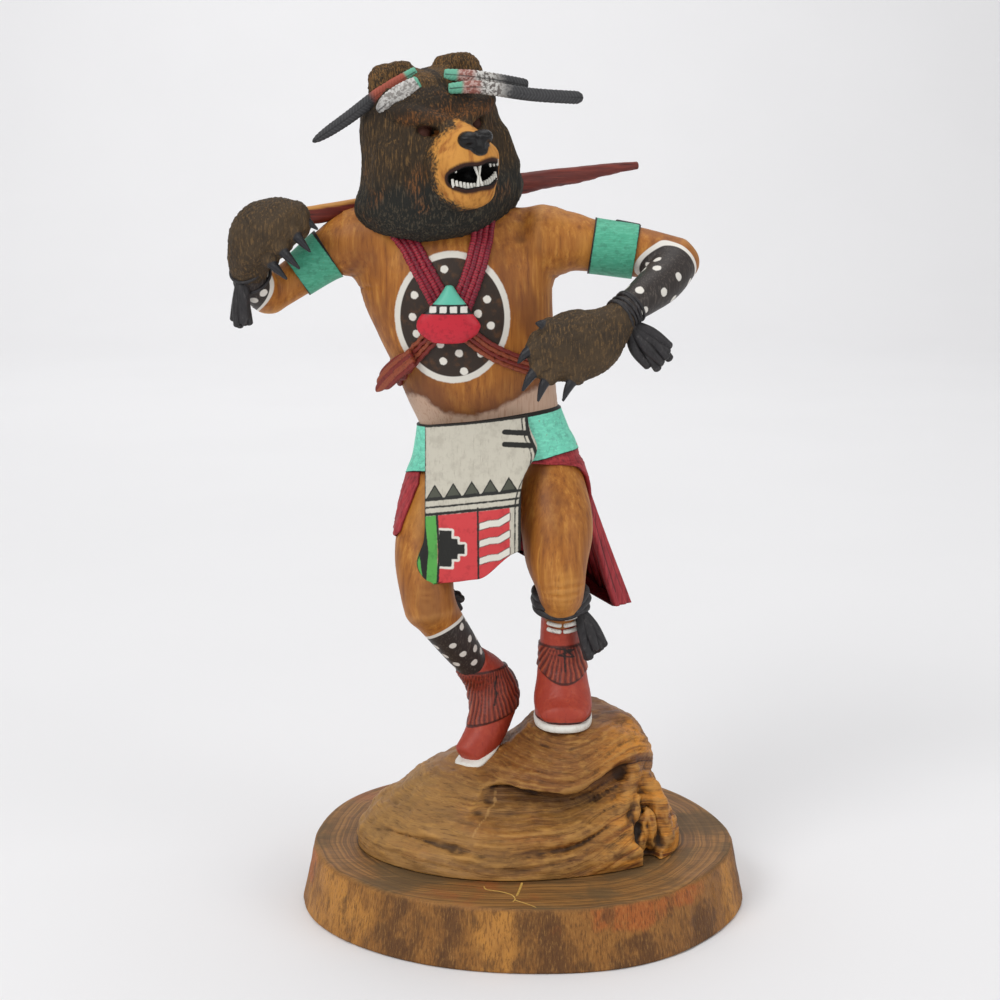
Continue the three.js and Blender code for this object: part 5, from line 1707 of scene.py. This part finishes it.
# Each crack's half width and the line it follows
CRACKS = [
    (0.28, [(-17.9, -67.7), (-16.6, -71.1), (-11, -73.3), (-6.3, -76.7), (-4.6, -81.2), (-5.5, -84.5)]),
    (0.24, [(-5, -82.6), (1.2, -87.8), (4.1, -91)]),
    (0.5, [(-1.5, -63.4), (-2.4, -69.9), (-3.8, -77.8)]),
]


def cracks():
    """Pale filled splits in the slab's top."""
    parts = []
    for width, line in CRACKS:
        rows = [[x, y, 26.93, width, 0.14] for x, y in line]
        parts.append(sweep(rows, UPRIGHT, sides=8, steps=8))
    return together(parts)


# What the photograph shows around it

def backdrop():
    """A pale floor that turns up behind in one sweep."""
    bend = np.linspace(0, math.pi / 2, 16)
    line = [(-4.0, 0.0)] + [(2.2 + 1.2 * math.sin(a), 1.2 - 1.2 * math.cos(a)) for a in bend] + [(3.4, 4.5)]
    points = np.array([(x, y, z) for y, z in line for x in (-6.0, 6.0)])
    quads = [(2 * k, 2 * k + 1, 2 * k + 3, 2 * k + 2) for k in range(len(line) - 1)]
    mesh = bpy.data.meshes.new("studio_sweep")
    mesh.from_pydata(points.tolist(), [], quads)
    mesh.shade_smooth()
    look = Look("studio_paper")
    look.base((238, 238, 240)).lay(look.between(look.noise(3.0, 2), 0.4, 0.6, 0, 0.3), (235, 235, 237))
    mesh.materials.append(look.finish(0.9, 0.1))
    sweep_object = bpy.data.objects.new("studio_sweep", mesh)
    bpy.context.scene.collection.objects.link(sweep_object)


def light(name, place, size, watts, aim=(0, 0, 0.19)):
    lamp = bpy.data.lights.new(name, "AREA")
    lamp.shape = "DISK"
    lamp.size = size
    lamp.energy = watts
    thing = bpy.data.objects.new(name, lamp)
    thing.location = place
    thing.rotation_euler = (Vector(aim) - Vector(place)).to_track_quat("-Z", "Y").to_euler()
    bpy.context.scene.collection.objects.link(thing)


def studio():
    backdrop()
    world = bpy.data.worlds.new("soft_room")
    world.use_nodes = True
    world.node_tree.nodes["Background"].inputs["Color"].default_value = (1.0, 0.99, 0.975, 1.0)
    world.node_tree.nodes["Background"].inputs["Strength"].default_value = 0.5
    bpy.context.scene.world = world
    light("key", (-1.1, -1.3, 1.5), 1.0, 17.5)
    light("fill", (1.5, -1.1, 0.9), 1.2, 7)
    light("top", (0.1, 0.3, 1.9), 1.3, 9)
    light("sweep", (-0.3, 1.6, 2.2), 1.6, 22, (-0.3, 3.2, 0.9))
    view = bpy.data.cameras.new("view")
    view.lens = 72
    view.sensor_width = 36
    camera = bpy.data.objects.new("view", view)
    camera.location = (-0.011, -0.882, 0.351)
    camera.rotation_euler = (math.radians(79.24), 0, 0)
    bpy.context.scene.collection.objects.link(camera)
    bpy.context.scene.camera = camera
    bpy.context.scene.view_settings.view_transform = "Standard"


# Assembly

def dress(body):
    piece("belt", belt(body), band_look("belt_turquoise", (116, 214, 186)))
    jade = band_look("band_turquoise", (74, 166, 134))
    piece("armband_right", armband(RIGHT_ARM, 0.5, 0.76), jade)
    piece("armband_left", armband(LEFT_ARM, 0.49, 0.78), jade)
    piece("sash_flap", sash_flap(), flap_look())
    piece("back_cloth", back_cloth(body), cloth_look())
    maroon = strand_look("necklace_paint", (132, 24, 46), (164, 40, 56), 1.25)
    piece("necklace", necklace(body), maroon)
    rust = strand_look("crossed_band_paint", (122, 42, 34), (150, 76, 46), 0)
    piece("crossed_bands", crossed_bands(body), rust)
    piece("pendant", pendant(), pendant_look())
    white = plain_look("bell_white", TOOTH_WHITE, (120, 116, 110), (236, 234, 228))
    piece("knee_bells", bells(), white)
    piece("ties", ties(), plain_look("tie_paint", (44, 42, 44), (22, 20, 22), (84, 80, 80)))


def main():
    studio()
    piece("bear_mask", carve_head(), head_look())
    piece("teeth", teeth(), tooth_look())
    body = carve_body()
    points, quads = body.surface()
    marks = {**body_marks(body, points), "hollow": hollows(points, quads, 14)}
    piece("body", (points, quads, marks), skin_look())
    fur = paw_look()
    piece("paw_right", carve_paw(RIGHT_PAW, RIGHT_CLAWS, (-134, -46, 276), (-80, -6, 324)), fur)
    piece("paw_left", carve_paw(LEFT_PAW, LEFT_CLAWS, (-8, -60, 228), (54, -24, 282)), fur)
    dress(body)
    piece("boots", carve_boots(), boot_look())
    sole_white = plain_look("sole_paint", (232, 230, 222), (214, 209, 198), (240, 238, 234))
    piece("soles", soles(), sole_white)
    piece("staff_stick", staff(), staff_look(), "staff")
    for name in FEATHERS:
        form = feather(name)
        piece(name + "_plume", form, feather_look(name, form[2]["run"].max()), name)
    piece("root_rock", carve_rock(), rock_look(), "rock")
    piece("trunk_slab", slab(), slab_look(), "slab")
    filler = plain_look("crack_fill", (206, 166, 84), (170, 126, 60), (226, 196, 120))
    piece("slab_cracks", cracks(), filler, "slab")


main()
